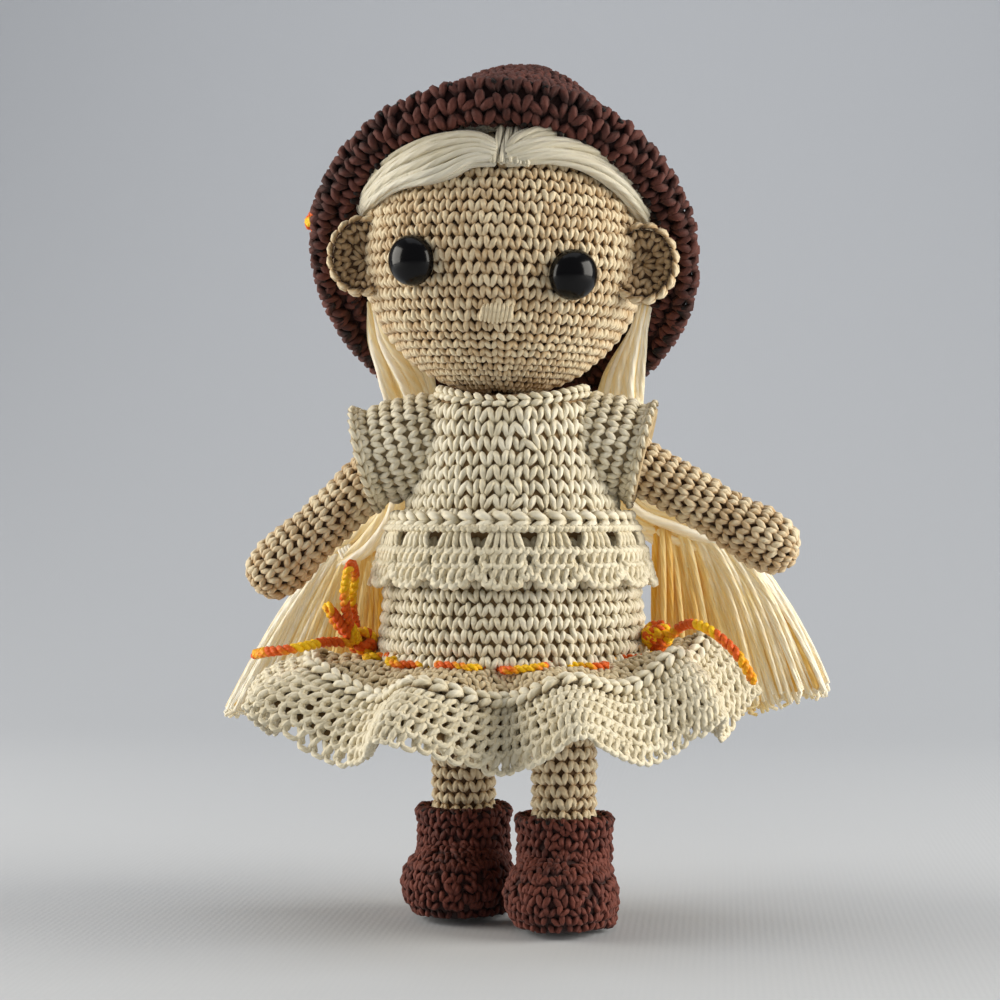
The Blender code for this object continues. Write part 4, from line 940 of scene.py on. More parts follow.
def two_ply(route, radius=CORD_RADIUS):
    """Two threads twisted round each other along a route."""
    route = np.asarray(route, float)
    run = run_of(route)
    places = np.linspace(0, run[-1], max(12, int(run[-1] / CORD_STEP)))
    line = np.stack([np.interp(places, run, route[:, k]) for k in range(3)], -1)
    directions = beside(line, (0.02, 0.05, 1.0))
    threads = []
    for start in (0, math.pi):
        angle = start + places / CORD_LAY * 2 * math.pi
        offset = radius * THREAD_OFFSET * turned_out(directions, angle, -1.0)
        colour = 0.5 + 0.5 * np.tanh(2.2 * np.sin(places * COLOUR_PACE + start * 0.25 + 1.3))
        thread = strand(line + offset, radius * THREAD_SHARE, THREAD_SIDES)
        tones = np.append(np.repeat(colour, THREAD_SIDES), [colour[0], colour[-1]])
        threads.append(thread._replace(crest=0.12 + 0.86 * tones, tone=tones))
    return together(threads)


for side, route in (("left", LEFT_END), ("right", RIGHT_END)):
    line = smooth_through(route, 24) + np.array(BASE)
    length = float(run_of(line)[-1])
    end = show(f"drawstring_{side}_end_cord", [two_ply(line)], CORD, "doll")
    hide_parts(f"drawstring_{side}_end")

KNOT_RADIUS, KNOT_HEIGHT = 0.0355, 0.0665


def knot_ball(centre, radius, turns, seed):
    """A cord wound over itself in a small tight ball."""
    a = np.linspace(0, 2 * math.pi * turns, turns * 26)
    tilt = a * 0.37 + seed
    ring = np.stack([np.cos(a), np.sin(a) * np.cos(tilt), np.sin(a) * np.sin(tilt)], -1)
    return two_ply(np.array(centre) + ring * (radius - CORD_RADIUS * 0.9))


def knot_place(degrees):
    """Where a knot sits on the skirt, so many degrees round it from the right."""
    angle = math.radians(degrees)
    place = (KNOT_RADIUS * math.cos(angle), KNOT_RADIUS * math.sin(angle), KNOT_HEIGHT)
    return np.array(place) + np.array(BASE)


LEFT_KNOT, RIGHT_KNOT = knot_place(192.0), knot_place(-14.0) + np.array((0, 0, 0.0020))
BOW_LOOP = [
    (-0.0350, -0.0062, 0.0665), (-0.0372, -0.0050, 0.0720), (-0.0375, -0.0065, 0.0770),
    (-0.0365, -0.0090, 0.0820), (-0.0365, -0.0130, 0.0850), (-0.0370, -0.0165, 0.0830),
    (-0.0378, -0.0160, 0.0780), (-0.0375, -0.0125, 0.0725), (-0.0355, -0.0090, 0.0665),
]
SMALL_LOOP = [
    (-0.0360, -0.0100, 0.0665), (-0.0385, -0.0120, 0.0700), (-0.0405, -0.0140, 0.0735),
    (-0.0418, -0.0150, 0.0752), (-0.0420, -0.0128, 0.0745), (-0.0405, -0.0105, 0.0710),
    (-0.0375, -0.0085, 0.0675),
]
bow = show("drawstring_bow_cord", [
    two_ply(smooth_through(BOW_LOOP, 60) + np.array(BASE)),
    two_ply(smooth_through(SMALL_LOOP, 40) + np.array(BASE)),
    knot_ball(LEFT_KNOT, 0.0037, turns=4, seed=0.6),
], CORD, "doll")
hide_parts("drawstring_bow")
knot = show("drawstring_knot_cord", [knot_ball(RIGHT_KNOT, 0.0038, turns=5, seed=1.9)], CORD, "doll")
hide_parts("drawstring_knot")

WOVEN_RADIUS, WEAVE_DEPTH = 0.0330, 0.0020
WOVEN_HEIGHT, WOVEN_DIP, WOVEN_RIPPLE = 0.0640, 0.0016, 0.0004
turn = np.linspace(0, 2 * math.pi, 481)
weave = np.sin(turn * 13 + 0.9) + 0.45 * np.sin(turn * 29 + 2.0)
radius = WOVEN_RADIUS + WEAVE_DEPTH * np.tanh(weave * 2.6)
front = (1 - np.sin(turn)) / 2
height = WOVEN_HEIGHT - WOVEN_DIP * front**3 + WOVEN_RIPPLE * np.sin(turn * 9)
ring = np.stack([BASE.x + radius * np.cos(turn), BASE.y + radius * np.sin(turn), height], -1)
woven = show("drawstring_woven_cord", [two_ply(ring, radius=0.0010)], CORD, "doll")
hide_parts("drawstring_front", "drawstring_back")

# ARMS AND SLEEVES
# Stuffed tan tubes with plump round stitches, hung on a strand of yarn through the shoulders.
# The bodice carries on over each shoulder as a flared cap sleeve with a chained rim.

# The undyed cotton's painted shade between the stitches, painted lighter on the sleeves.
SLEEVE_PAINTED_SHADE = ground("undyed_cotton_sleeve_painted_shade", "#c9b48c", "#9a8058")
SHOULDER_Z, ARM_ROOT_X = 0.1172, 0.0185
ARM_SET = {"left": 0.0020, "right": -0.0021}
ARM_DROP = {"left": math.radians(43.0), "right": math.radians(31.0)}
# From the hand up: radius, and distance from the shoulder.
ARM_PROFILE = [
    (0.0, -0.0590), (0.0030, -0.0584), (0.0058, -0.0560), (0.0070, -0.0496),
    (0.0060, -0.0389), (0.0062, -0.0265), (0.0060, -0.0130), (0.0056, 0.0),
]
ARM_SHARE = {"left": 1.0, "right": 0.945}
SLEEVE_LENGTH = {"left": 0.0172, "right": 0.0125}
SLEEVE_DROP, SLEEVE_SET = math.radians(14.0), 0.0034
# From the rim in: radius, and share of the sleeve's length. Its root reaches into the bodice.
SLEEVE_PROFILE = [(0.0122, 1.0), (0.0111, 0.86), (0.0117, 0.5), (0.0113, 0.0)]
SLEEVE_ROOT = (0.0100, 0.0040)
SLEEVE_FREE_FROM, SLEEVE_FREE_TO = 0.0190, 0.0300

for side, sign in SIDES.items():
    body = side + "_arm"
    shoulder = BASE + Vector((sign * ARM_ROOT_X, 0, SHOULDER_Z))
    aim = Matrix.Rotation(-sign * (math.pi / 2 - ARM_DROP[side]), 4, "Y")
    profile = [(radius, z * ARM_SHARE[side]) for radius, z in ARM_PROFILE]
    arm, length = lathe(profile, Matrix.Translation(shoulder + Vector((0, 0, ARM_SET[side]))) @ aim)
    reach = (0, length - 0.004)
    ground_arm = shell(side + "_arm_fabric", arm, reach, (26, 40), SKIN_PAINTED_SHADE, body, sink=0.0010)
    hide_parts(side + "_arm_skin", side + "_arm_stuffing")
    rows = rounds(arm, np.arange(0.0012, length - 0.010, 2.75 * MM), 2.95 * MM, lean=0.5)
    stitches = worked(arm, rows, 3.2 * MM, 3.1 * MM, sink=0.0008, wobble=0.2)
    show(side + "_arm_stitches", [stitches], SKIN, body)

    aim = Matrix.Rotation(-sign * (math.pi / 2 - SLEEVE_DROP), 4, "Y")
    profile = [(radius, -share * SLEEVE_LENGTH[side]) for radius, share in SLEEVE_PROFILE] + [SLEEVE_ROOT]
    sleeve, length = lathe(profile, Matrix.Translation(shoulder - Vector((0, 0, SLEEVE_SET))) @ aim)
    ground_sleeve = shell(
        side + "_sleeve_fabric", sleeve, (0, length), (12, 64), SLEEVE_PAINTED_SHADE, body=None,
        sink=0.0007, wall=0.0010,
    )
    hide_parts(side + "_sleeve")
    rows = rounds(sleeve, np.arange(0.0022, length - 0.001, 3.0 * MM), 3.0 * MM, lean=0.5)
    stitches = show(side + "_sleeve_stitches", [
        worked(sleeve, rows, 3.2 * MM, 2.7 * MM, sink=0.0004, wobble=0.15),
        chain_on(sleeve, 0.0004, 2.9 * MM, 2.4 * MM, 2.4 * MM, lift=0.0),
    ], CREAM)
    inner = BASE + Vector((sign * SLEEVE_FREE_FROM, 0, SHOULDER_Z))
    outer = BASE + Vector((sign * SLEEVE_FREE_TO, 0, SHOULDER_Z))
    for piece in (ground_sleeve, stitches):
        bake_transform(piece)

# HEAD
# A stuffed ball of tan cotton, worked in rounds from the chin's pole upwards and sewn to the neck
# all round. No stitches are worked where the fringe and the wig's cap lie over it.

HEAD = Matrix.Translation((-0.00072, -0.00162, 0.1584)) @ Matrix.Rotation(math.radians(2.0), 4, "Y")
HEAD_RADIUS, CHIN_HOLE = 0.0339, 0.12
# The hairline lies square to a direction that leans back from the head's own upright.
HAIRLINE_LEAN, HAIRLINE_HEIGHT = math.radians(30.0), 0.0150
CHIN_COLUMNS = 50
angles = np.linspace(math.pi - CHIN_HOLE, 0, 60)
outline = [(HEAD_RADIUS * math.sin(a), HEAD_RADIUS * math.cos(a)) for a in angles]
head, head_length = lathe(outline, HEAD, 160)
ground_head = shell("head_fabric", head, (0, head_length), (48, 96), SKIN_PAINTED_SHADE, "doll", sink=0.0012)
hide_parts("head_skin", "head_stuffing")

# The chin's stitches stand in columns; the rounds above lean a little from one to the next.
chin_turns = (np.arange(CHIN_COLUMNS) + 0.5) / CHIN_COLUMNS * 2 * math.pi
chin_levels = np.arange(0.0135, 0.0280, 2.45 * MM)
chin_rows = []
for level in chin_levels:
    width = 2 * math.pi * HEAD_RADIUS * math.sin(level / HEAD_RADIUS + CHIN_HOLE) / CHIN_COLUMNS
    chin_rows += [(turn, level, width) for turn in chin_turns]
chin = np.array(chin_rows)
under_chin = rounds(head, np.arange(0.0030, 0.0120, 2.6 * MM), 2.5 * MM, lean=0.38)
levels = np.arange(chin_levels[-1] + 2.6 * MM, head_length * 0.86, 2.85 * MM)
rows = rounds(head, levels, 2.85 * MM, lean=0.38)
places = head(rows[:, 0], rows[:, 1]) - np.array(HEAD.translation)
hairline = np.array((0, math.sin(HAIRLINE_LEAN), math.cos(HAIRLINE_LEAN)))
rows = rows[places @ np.array(HEAD.to_3x3()) @ hairline <= HAIRLINE_HEIGHT]
show("head_stitches", [
    worked(head, rows, 3.35 * MM, 3.0 * MM, sink=0.0010, wobble=0.15),
    worked(head, chin, 2.75 * MM, 2.6 * MM, sink=0.0009, wobble=0.08),
    worked(head, under_chin, 2.8 * MM, 2.6 * MM, sink=0.0009, wobble=0.1, template=V_STITCH),
], SKIN, "doll")

# EYES AND NOSE
# Safety eyes, pushed through the fabric and locked behind it, and a nose of a few long stitches
# laid side by side in the yarn of the skin.


def on_head(x, z, lift=0.0):
    """A place on the front of the head, and the directions across, up and out of it."""
    out = Vector((x, -math.sqrt(HEAD_RADIUS**2 - x * x - z * z), z)).normalized()
    across = out.cross(Vector((0, 0, 1))).normalized() * -1
    spin = HEAD.to_3x3()
    return HEAD @ (out * (HEAD_RADIUS + lift)), spin @ across, spin @ out.cross(across), spin @ out


# Moulded, polished black plastic: a mirror-like coat over black. Its haze, far finer than a
# millimetre in fact, is drawn that coarse so that the highlights' edges show it.
HAZE = 0.9 / MM


def gloss_plastic():
    """The polished black of the eyes."""
    made, tree, out = new_material("polished_black_plastic")
    place = node(tree, "TexCoord").outputs["Object"]
    haze = node(tree, "TexNoise", {"Vector": place, "Scale": HAZE, "Detail": 2.0}).outputs["Fac"]
    rough = node(tree, "MapRange", {"Value": haze, "To Min": 0.13, "To Max": 0.19}).outputs[0]
    shader = node(tree, "BsdfPrincipled", {
        "Base Color": linear("#060506"), "Roughness": rough, "IOR": 1.46, "Specular IOR Level": 0.26,
    })
    tree.links.new(shader.outputs[0], out.inputs["Surface"])
    return made


EYE_PLASTIC = gloss_plastic()
EYES = {"left": (-0.0181, -0.0048), "right": (0.0181, -0.0070)}
EYE_RADIUS, EYE_BACK, EYE_FLATNESS, EYE_STANDS = 0.0058, 0.0012, 0.80, 0.0004
for side, (x, z) in EYES.items():
    place, *directions = on_head(x, z)
    shape = bmesh.new()
    bmesh.ops.create_uvsphere(shape, u_segments=48, v_segments=32, radius=EYE_RADIUS)
    low = [v for v in shape.verts if v.co.z < -EYE_BACK]
    bmesh.ops.delete(shape, geom=low, context="VERTS")
    rim = [e for e in shape.edges if e.is_boundary]
    bmesh.ops.holes_fill(shape, edges=rim, sides=0)
    bmesh.ops.scale(shape, vec=(1, 1, EYE_FLATNESS), verts=shape.verts)
    stand = Matrix.Translation(place + directions[-1] * EYE_STANDS)
    stand = stand @ Matrix(directions).transposed().to_4x4()
    bmesh.ops.transform(shape, matrix=stand, verts=shape.verts)
    bmesh.ops.recalc_face_normals(shape, faces=shape.faces)
    eye = finished(side + "_eye_dome", mesh_of(side + "_eye_dome", shape), EYE_PLASTIC)
    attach(eye, "doll")
    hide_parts(side + "_eye")

NOSE_STITCHES, NOSE_X, NOSE_Z = 8, 0.0014, -0.0162
NOSE_HALF_WIDTH, NOSE_HALF_HEIGHT, NOSE_LIFT = 0.0031, 0.0023, 0.0011
NOSE_RADII = [0.0003, 0.00052, 0.00058, 0.0006, 0.00058, 0.00052, 0.0003]
parts = []
for f in np.linspace(-1, 1, NOSE_STITCHES):
    line = []
    for t in np.linspace(-1, 1, len(NOSE_RADII)):
        lift = NOSE_LIFT * math.sqrt(max(0.0, 1 - 0.75 * t * t)) - 0.0003
        height = NOSE_Z + t * (NOSE_HALF_HEIGHT - 0.0006 * abs(f))
        line.append(on_head(NOSE_X + NOSE_HALF_WIDTH * f + 0.0004 * t, height, lift)[0])
    parts.append(strand(line, NOSE_RADII, tone=0.75 + 0.2 * rng.random()))
nose = show("nose_satin_stitches", parts, SKIN, "doll")
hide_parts("nose")

# EARS
# Small crocheted cups in the yarn of the skin, of a few rounds of stitches. They are sewn to the
# head by the edge, with the hollow side forward.

EARS = {"left": 0.0, "right": 0.0016}
EAR_CUP, EAR_FORWARD, EAR_DROP = 0.0034, 0.0118, 0.0028
EAR_SHAPE = Matrix.Diagonal((0.84, 0.97, 1.0, 1.0))
EAR_PROFILE = [
    (0.0, 0.0006), (0.0025, 0.0004), (0.0048, -0.0002), (0.0062, -0.0012), (0.0074, -0.0024),
    (0.0083, -0.0016), (0.0083, -0.0002), (0.0076, 0.0012), (0.0060, 0.0023), (0.0035, 0.0031),
    (0.0, 0.0034),
]
# The skin's yarn in the hollow of the ear, where less light reaches it.
SHADED = yarn("tan_cotton_yarn_in_shade", "#cbb08a", "#9f8057", "#4a341e")
for side, sign in SIDES.items():
    reach = math.sqrt(HEAD_RADIUS**2 - EAR_FORWARD**2)
    place = Vector((sign * (reach + EARS[side]), -EAR_FORWARD - EAR_CUP / 2, -EAR_DROP))
    stand = HEAD @ Matrix.Translation(place) @ Matrix.Rotation(-math.pi / 2, 4, "X") @ EAR_SHAPE
    ear, length = lathe(EAR_PROFILE, stand, 90)
    ground_ear = shell(side + "_ear_fabric", ear, (0, length), (30, 40), SKIN_PAINTED_SHADE, "doll", sink=0.0004)
    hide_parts(side + "_ear")
    hollow = rounds(ear, [0.0020, 0.0050], 3.0 * MM, lean=0.5)
    wall = rounds(ear, [0.0072], 2.7 * MM)
    back = rounds(ear, [0.0124, 0.0150, 0.0178], 2.7 * MM, lean=0.5)
    show(side + "_ear_hollow_stitches", [
        worked(ear, hollow, 3.2 * MM, 2.3 * MM, sink=0.0003, wobble=0.5),
        worked(ear, wall, 2.4 * MM, 1.8 * MM, sink=0.0004, wobble=0.2),
    ], SHADED, "doll")
    show(side + "_ear_stitches", [
        worked(ear, back, 2.7 * MM, 2.2 * MM, sink=0.0004, wobble=0.12, template=V_STITCH),
        chain_on(ear, 0.0098, 3.0 * MM, 3.4 * MM, 2.8 * MM, lift=0.0002),
    ], SKIN, "doll")

# HAIR
# Thick soft-spun cream yarn, sewn down along a centre parting. Two swept locks lie over the brow,
# and the rest runs back over the skull, under the hat, to a tail at each side.

# Soft-spun cotton, hardly twisted: pale, with fine lines along the strands, partly relief and partly
# painted shade, and warm where light comes through them.
HAIR = yarn(
    "cream_soft_spun_yarn", "#f6f1df", "#e8dfc4", "#bfa468", sheen=0.3, roughness=0.6, ply=5.0, plies=4,
    fuzz=0.55, drift=0.1, glow=("#f6e3ae", 0.2),
)
# About a full turn: each strand's waves start anywhere in it.
FULL_TURN = 6.3


def frayed(line, radius, local, ends=4):
    """A soft strand of several fine ends that lie against each other and wander a little."""
    line = np.array([tuple(p) for p in line])
    radius = np.broadcast_to(np.asarray(radius, float), (len(line),))
    directions = beside(line, (0.11, 0.93, 0.35))
    t = np.linspace(0, 1, len(line))
    turn = local.uniform(0, FULL_TURN)
    tone = local.random()
    thickness = radius * (0.70 - 0.045 * ends)
    made = []
    for k in range(ends):
        angle = turn + 2 * math.pi * k / ends + 2.4 * t
        reach = radius * (0.58 + 0.07 * np.sin(9 * t + local.uniform(0, FULL_TURN)))
        offset = reach[:, None] * turned_out(directions, angle)
        end_tone = 0.6 * tone + 0.4 * local.random()
        made.append(strand(line + offset, thickness, 5, end_tone, painted_shade=0.25 * local.random()))
    return made


# The upper and the lower edge of each lock of the fringe, as directions from the head's centre.
LOCK_EDGES = {
    "left": (
        [(0.0, -0.79, 0.61), (-0.17, -0.71, 0.68), (-0.38, -0.64, 0.66), (-0.54, -0.59, 0.61),
         (-0.72, -0.46, 0.52), (-0.85, -0.33, 0.40), (-0.93, -0.20, 0.28)],
        [(0.0, -0.86, 0.50), (-0.14, -0.86, 0.49), (-0.29, -0.86, 0.43), (-0.43, -0.82, 0.39),
         (-0.60, -0.72, 0.36), (-0.78, -0.55, 0.30), (-0.93, -0.28, 0.22)],
    ),
    "right": (
        [(0.08, -0.79, 0.61), (0.14, -0.71, 0.69), (0.25, -0.63, 0.74), (0.50, -0.49, 0.71),
         (0.72, -0.36, 0.60), (0.87, -0.25, 0.43), (0.96, -0.14, 0.26), (0.98, -0.10, 0.16)],
        [(0.07, -0.86, 0.50), (0.22, -0.83, 0.52), (0.38, -0.77, 0.53), (0.58, -0.66, 0.50),
         (0.75, -0.52, 0.41), (0.88, -0.38, 0.29), (0.95, -0.25, 0.19), (0.98, -0.16, 0.12)],
    ),
}
LOCK_YARN = {"left": 0.00185, "right": 0.00195}
LOCK_COUNT = {"left": 5, "right": 4}
LOCK_STEPS, LOCK_LAYERS, LOCK_ENDS = 34, 2, 5
LOCK_LIFT, LAYER_LIFT, LOCK_ROUNDING = 0.0012, 0.0013, 0.0008
# The lock's thickness at places along it, as shares of its yarn's.
LOCK_TAPER = ([0, 0.08, 0.5, 0.85, 1], [0.75, 0.95, 1.1, 0.9, 0.6])
t = np.linspace(0, 1, LOCK_STEPS)
taper = np.interp(t, *LOCK_TAPER)
for side, sign in SIDES.items():
    local = np.random.default_rng(30 + sign)
    edges = []
    for edge in LOCK_EDGES[side]:
        edges.append(smooth_through([Vector(p).normalized() for p in edge], LOCK_STEPS))
    parts = []
    for layer in range(LOCK_LAYERS):
        count = LOCK_COUNT[side] - layer
        for k in range(count):
            share = min((k + 0.5 + 0.5 * layer) / count, 0.96)
            wander = np.sin(t * local.uniform(4, 7) + local.uniform(0, FULL_TURN)) * np.sin(math.pi * t)
            f = share + 0.05 * wander
            way = unit(edges[0] * (1 - f[:, None]) + edges[1] * f[:, None])
            over = layer * LAYER_LIFT * np.sin(math.pi * np.clip(t * 1.1, 0, 1))
            lift = HEAD_RADIUS + LOCK_LIFT + over + LOCK_ROUNDING * np.sin(math.pi * f)
            line = [HEAD @ Vector(w * h) for w, h in zip(way, lift)]
            parts += frayed(line, LOCK_YARN[side] * taper, local, LOCK_ENDS)
    lock = show(side + "_fringe_lock", parts, HAIR, "doll")
    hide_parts(side + "_fringe")

PARTING_STITCHES, PARTING_PITCH, PARTING_YARN = 5, 0.052, 0.00085
parts = []
local = np.random.default_rng(44)
for k in range(PARTING_STITCHES):
    x = -0.012 + PARTING_PITCH * k
    spots = [(x, -0.86, 0.47), (x + 0.01, -0.83, 0.56), (x + 0.02, -0.77, 0.64), (x + 0.03, -0.68, 0.73)]
    line = [HEAD @ (Vector(s).normalized() * (HEAD_RADIUS + 0.0022)) for s in spots]
    parts += frayed(smooth_through(line, 12), PARTING_YARN, local)
show("parting_stitches", parts, HAIR, "doll")

# The cap's strands run from the brow over the skull, in degrees, and lie side by side from ear to ear.
CAP_STRANDS, CAP_YARN = 54, 0.00105
CAP_FROM, CAP_TURN, CAP_WIDTH = -42, 152, 1.24
parts = []
local = np.random.default_rng(12)
for k in range(CAP_STRANDS):
    across = (k + 0.5) / CAP_STRANDS * 2 - 1
    line = []
    for t in np.linspace(0, 1, 16):
        lean = math.radians(CAP_FROM + CAP_TURN * t)
        swing = across * (CAP_WIDTH - 0.08 * t)
        back, up = math.cos(swing) * math.sin(lean), math.cos(swing) * math.cos(lean)
        height = HEAD_RADIUS + 0.0010 + 0.0003 * local.random()
        line.append(HEAD @ (Vector((math.sin(swing), back, up)) * height))
    parts += frayed(line, CAP_YARN, local)
cap = show("hair_cap_strands", parts, HAIR, "doll")
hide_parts("hair_cap")

# TAILS AND TASSELS
# From behind each ear the wig's yarn runs down in a tail, which swings where it leaves the hat. A
# few turns of the same yarn tie it, and past them its ends hang open in a tassel.

# The same yarn hanging loose: light passes through it, a faint painted glow lifts it all, and the
# inner ends are painted golden as glowing light.
TASSEL = yarn(
    "loose_cream_yarn_ends_painted_glow", "#fffdf0", "#f5df9f", "#dfa832", sheen=0.3, roughness=0.6, ply=5.0, plies=4,
    fuzz=0.5, drift=0.1, glow=("#ffe7a0", 0.22), painted_glow=0.10,
)
# Each strand of a tail starts so much of a turn round it from the last, so that none line up.
GOLDEN_SHARE = 0.618


def bundle(route, width, count, fine, flat, twist, seed, spread, core):
    """Strands side by side along a route, each with its own small wander, and painted shade at the core."""
    local = np.random.default_rng(seed)
    route = np.asarray(route, float)
    directions = beside(route, (0.03, 1.0, 0.08))
    t = np.linspace(0, 1, len(route))
    radii = fine * np.minimum(1.0, 0.55 + 4 * np.minimum(t, 1 - t)) * np.clip(spread, 0.6, 1.0)
    parts = []
    for k in range(count):
        angle = 2 * math.pi * k * GOLDEN_SHARE + local.random()
        reach = math.sqrt((k + 0.5) / count) * width
        wander = 0.12 * width * np.sin(t * (5 + 6 * local.random()) + FULL_TURN * local.random())
        offset = (reach + wander)[:, None] * turned_out(directions, angle + twist * t, flat)
        deep = core * (1 - reach / width)
        parts.append(strand(route + offset * spread[:, None], radii, tone=local.random(), painted_shade=deep))
    return parts


TAILS = {
    "left": [
        (-0.0335, 0.0062, 0.1480), (-0.0315, 0.0110, 0.1390), (-0.0275, 0.0165, 0.1280),
        (-0.0262, 0.0235, 0.1140), (-0.0288, 0.0275, 0.0985), (-0.0362, 0.0290, 0.0893),
        (-0.0470, 0.0290, 0.0836),
    ],
    "right": [
        (0.0312, 0.0060, 0.1466), (0.0286, 0.0102, 0.1385), (0.0249, 0.0168, 0.1272),
        (0.0240, 0.0235, 0.1140), (0.0285, 0.0275, 0.1000), (0.0385, 0.0290, 0.0935),
        (0.0510, 0.0290, 0.0872),
    ],
}
# How full a tail is at places along it.
TAIL_SHARES = [0, 0.12, 0.3, 0.45, 0.6, 0.85, 0.95, 1]
TAIL_SWELL = {
    "left": [0.50, 0.85, 1.60, 1.50, 1.50, 1.95, 1.45, 1.0],
    "right": [0.40, 0.42, 1.00, 1.35, 1.25, 1.45, 1.05, 0.8],
}
TAIL_STRANDS, TAIL_YARN, TAIL_WIDTH, TAIL_FLATNESS, TAIL_TWIST = 40, 0.00112, 0.0042, 0.55, 1.6
TIE_LENGTH, TIE_TURNS, TIE_RADIUS, TIE_YARN = 0.003375, 4, 0.0027, 0.00065
# The loose ends fold out of the tail between two places and hang down to a line, all as x and z.
FAN_FROM = {
    "left": ((-0.0480, 0.0850), (-0.0340, 0.0890)),
    "right": ((0.0535, 0.0885), (0.0340, 0.0930)),
}
FAN_TO = {
    "left": ((-0.0740, 0.0475), (-0.0345, 0.0440)),
    "right": ((0.0768, 0.0535), (0.0335, 0.0440)),
}
FAN_BULGE = {"left": 0.0010, "right": 0.0024}
FAN_STRANDS, FAN_CORE = 330, 26
FAN_Y, FAN_FOOT_Y, FAN_CORE_Y = 0.0290, 0.0300, 0.0295

for side, sign in SIDES.items():
    body = side + "_tail"
    route = smooth_through(TAILS[side], 40) + np.array(BASE)
    swell = np.interp(np.linspace(0, 1, 40), TAIL_SHARES, TAIL_SWELL[side])
    strands = bundle(
        route, TAIL_WIDTH, TAIL_STRANDS, TAIL_YARN, TAIL_FLATNESS, TAIL_TWIST, 20 + sign, swell, core=0.6,
    )
    tail = show(side + "_tail_strand_bundle", strands, TASSEL, body)
    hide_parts(side + "_tail_strands")

    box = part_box(side + "_tail_tie")
    middle = (box[0] + box[1]) / 2
    fall = (Vector(route[-1]) - Vector(route[-3])).normalized()
    cross = fall.cross(Vector((0, 1, 0))).normalized()
    other = fall.cross(cross)
    wrap = []
    for turn in np.linspace(0, 2 * math.pi * TIE_TURNS, 90):
        along = turn / (2 * math.pi * TIE_TURNS) - 0.5
        outwards = cross * math.cos(turn) + other * math.sin(turn)
        wrap.append(middle + fall * (TIE_LENGTH * along) + outwards * TIE_RADIUS)
    tie = show(side + "_tail_tie_wrap", [strand(wrap, TIE_YARN, tone=0.8)], TASSEL, body)
    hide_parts(side + "_tail_tie")

    local = np.random.default_rng(40 + sign)
    outer, inner = np.array(FAN_FROM[side])
    outer_foot, inner_foot = np.array(FAN_TO[side])
    parts = []
    for k in range(FAN_STRANDS):
        f = (k + local.random()) / FAN_STRANDS
        g = local.uniform(-1, 1)
        top, foot = outer + (inner - outer) * f, outer_foot + (inner_foot - outer_foot) * f
        start = np.array([top[0], FAN_Y + g * 0.0030, top[1] + 0.0016 * (1 - g * g)])
        reach = np.array([foot[0], FAN_FOOT_Y + g * 0.0042, foot[1] + local.normal(0, 0.0012)]) - start
        bulge = sign * FAN_BULGE[side] * (1 - f) ** 1.5
        wave, sway = local.uniform(0, FULL_TURN), local.uniform(0.0005, 0.0019)
        line = []
        for t in np.linspace(0, 1, 13):
            lift = math.sin(math.pi * t**0.7)
            q = start + reach * t
            q[0] += bulge * lift + sway * math.sin(4 * t + wave) * t * (1.2 - 0.8 * t)
            q[1] += g * 0.0014 * lift + 0.0009 * math.cos(4 * t + wave)
            q[2] += abs(bulge) * 0.6 * lift
            line.append(q)
        if local.random() < 0.5:
            bent = [local.normal(0, 0.0009), local.normal(0, 0.0006), -local.uniform(0.0003, 0.0012)]
            line.append(line[-1] + np.array(bent))
        # The inner ends, nearer the middle of the fan, are painted golden as light glowing through them.
        golden_glow_share = 0.22 * (1 - abs(g)) + 0.80 * f**0.9 - 0.12
        radii = np.linspace(0.00074, 0.00050, len(line))
        parts.append(strand(line, radii, 5, local.random(), painted_shade=golden_glow_share))
    # Broad, flat strands just behind the loose ends, painted deep golden, fill the gaps between them as
    # painted glow.
    for k in range(FAN_CORE):
        f = (k + 0.5) / FAN_CORE
        top = outer + (inner - outer) * f
        foot = outer_foot + (inner_foot - outer_foot) * (0.04 + 0.94 * f)
        bulge = sign * FAN_BULGE[side] * (1 - f) ** 1.5
        line = []
        for t in np.linspace(0, 0.97, 10):
            lift = math.sin(math.pi * t**0.7)
            x, z = top + (foot - top) * t + np.array((bulge, abs(bulge) * 0.6)) * lift
            line.append((x, FAN_CORE_Y + 0.0012 * (k % 3 - 1), z))
        radii = np.linspace(0.0010, 0.0021, 10)
        parts.append(strand(line, radii, 8, local.random(), flat=0.45, painted_shade=0.6 + 0.4 * f))
    tassel = show(side + "_tassel_strands", parts, TASSEL, body)
    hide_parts(side + "_tassel")

# HAT
# A deep crown and a turned-up brim in doubled maroon cotton, so its stitches are the thickest on
# the doll. It is worn far back and comes off.

# The maroon painted a little darker on the hat, as painted shade.
HAT_YARN = yarn("maroon_cotton_yarn_painted_shade", "#63342a", "#371710", "#0e0402", sheen=0.04, ply=1.9, fuzz=0.7)
HAT_AXIS = HEAD @ Matrix.Rotation(math.radians(-50.0), 4, "X")
HAT_RADIUS, BRIM_RADIUS = 0.0410, 0.0458
BRIM_LIFT, BRIM_DROOP = 0.0024, 0.0060
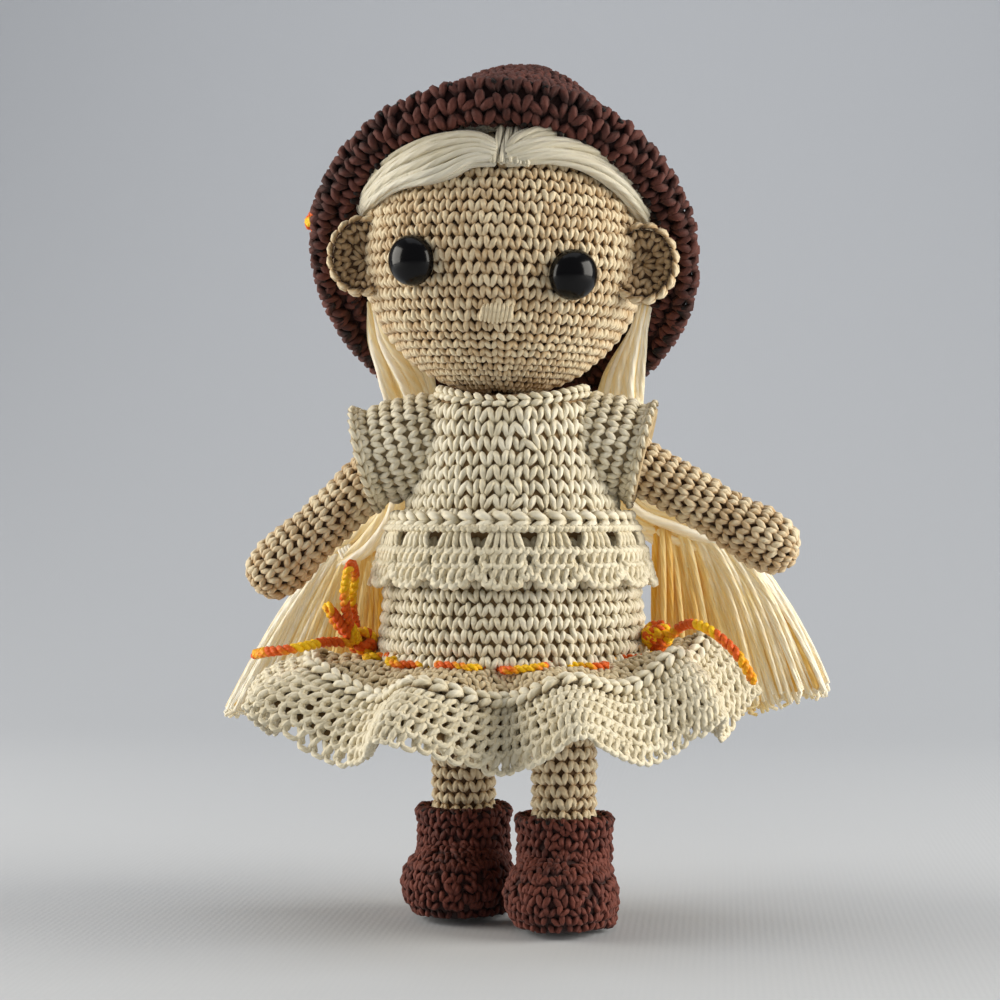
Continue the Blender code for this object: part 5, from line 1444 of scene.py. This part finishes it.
# From the tip down the lining to the mouth, then out round the brim and up: radius and height.
HAT_LINING = [
    (0.0, 0.0630), (0.0040, 0.0622), (0.0084, 0.0600), (0.0140, 0.0545), (0.0188, 0.0460), (0.0242, 0.0345),
    (0.0305, 0.0226), (0.0352, 0.0118), (0.0368, 0.0070),
]
HAT_PROFILE = [
    (0.0370, 0.0010), (0.0370, -0.0026), (0.0390, -0.0033), (0.0428, -0.0031), (0.0449, -0.0018),
    (0.0457, -0.0002), (0.0448, 0.0014), (0.0430, 0.0020), (0.0412, 0.0034), (0.0407, 0.0080),
    (0.0392, 0.0127), (0.0342, 0.0240), (0.0279, 0.0360), (0.0226, 0.0480), (0.0176, 0.0570),
    (0.0111, 0.0630), (0.0049, 0.0660), (0.0, 0.0670),
]
LINING_STEPS = 80
hat_line = np.vstack([smooth_through(HAT_LINING, LINING_STEPS), smooth_through(HAT_PROFILE, 240)])
hat_run = run_of(hat_line)
hat_matrix = np.array(HAT_AXIS)


def hat(turn, along):
    """The hat's outside, from inside its mouth round the brim and up the crown to its tip."""
    radius = np.maximum(np.interp(along, hat_run, hat_line[:, 0]), 0)
    z = np.interp(along, hat_run, hat_line[:, 1])
    out = np.clip((radius - HAT_RADIUS) / (BRIM_RADIUS - HAT_RADIUS), 0, 1.2)
    back = (1 + np.sin(turn)) / 2
    z = z + out * (BRIM_LIFT * (1 - back) - BRIM_DROOP * back)
    local = np.stack([radius * np.cos(turn), radius * np.sin(turn), z], -1)
    return local @ hat_matrix[:3, :3].T + hat_matrix[:3, 3]


ground_hat = shell("hat_fabric", hat, (0, hat_run[-1]), (130, 120), MAROON_PAINTED_SHADE, "hat", sink=0.0012)
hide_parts("hat")
rim_start = hat_run[LINING_STEPS] + 0.0024
rim_rows = rounds(hat, np.arange(rim_start, rim_start + 0.0155, 3.7 * MM), 4.3 * MM, lean=0.5)
crown_rows = rounds(hat, np.arange(rim_start + 0.0168, hat_run[-1] - 0.001, 3.6 * MM), 3.9 * MM, lean=0.5)
brim_stitches = worked(hat, rim_rows, 4.3 * MM, 4.3 * MM, sink=0.0011, wobble=0.3)
show("hat_brim_stitches", [brim_stitches], HAT_YARN, "hat")
crown_stitches = worked(hat, crown_rows, 4.1 * MM, 4.0 * MM, sink=0.0012, wobble=0.2)
show("hat_crown_stitches", [crown_stitches], HAT_YARN, "hat")
knot_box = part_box("hat_knot")
knot_middle = (knot_box[0] + knot_box[1]) / 2 + Vector((-0.0004, -0.0030, 0.0042))
hat_knot = show("hat_knot_thread", [knot_ball(knot_middle, 0.0029, turns=4, seed=0.2)], CORD, "hat")
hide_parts("hat_knot")

# INSIDE PIECES
# What the fabric hides: the eyes' locking washers, the boots' insoles and the strand of yarn that
# the arms swing on. They are the frame's own solids, each given its finish.


def hidden_finish(name, colour, grains, roughness):
    """Moulded plastic or pressed board, with a fine grain, so many grains to the metre."""
    made, tree, out = new_material(name)
    place = node(tree, "TexCoord").outputs["Object"]
    noise = node(tree, "TexNoise", {"Vector": place, "Scale": grains, "Detail": 3.0}).outputs["Fac"]
    bump = node(tree, "Bump", {"Height": noise, "Strength": 0.3, "Distance": 0.1 * MM}).outputs["Normal"]
    rough = node(
        tree, "MapRange", {"Value": noise, "To Min": roughness - 0.08, "To Max": roughness + 0.08},
    ).outputs[0]
    shader = node(
        tree, "BsdfPrincipled", {"Base Color": linear(colour), "Roughness": rough, "Normal": bump},
    )
    tree.links.new(shader.outputs[0], out.inputs["Surface"])
    return made


# Moulded plastic gives the washers a dull, even white; pressed board gives the insoles a matt,
# slightly mottled buff. The strand through the shoulders is the skin's yarn.
WASHER = hidden_finish("moulded_washer_plastic", "#e2e2de", grains=1.2 / MM, roughness=0.4)
BOARD = hidden_finish("pressed_insole_board", "#c4b7a2", grains=0.7 / MM, roughness=0.75)
INSIDE = {"washer": WASHER, "insole": BOARD, "shoulder_yarn": SKIN}
for name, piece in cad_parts.items():
    for ending, material in INSIDE.items():
        if name.endswith(ending):
            piece.data.materials.clear()
            piece.data.materials.append(material)
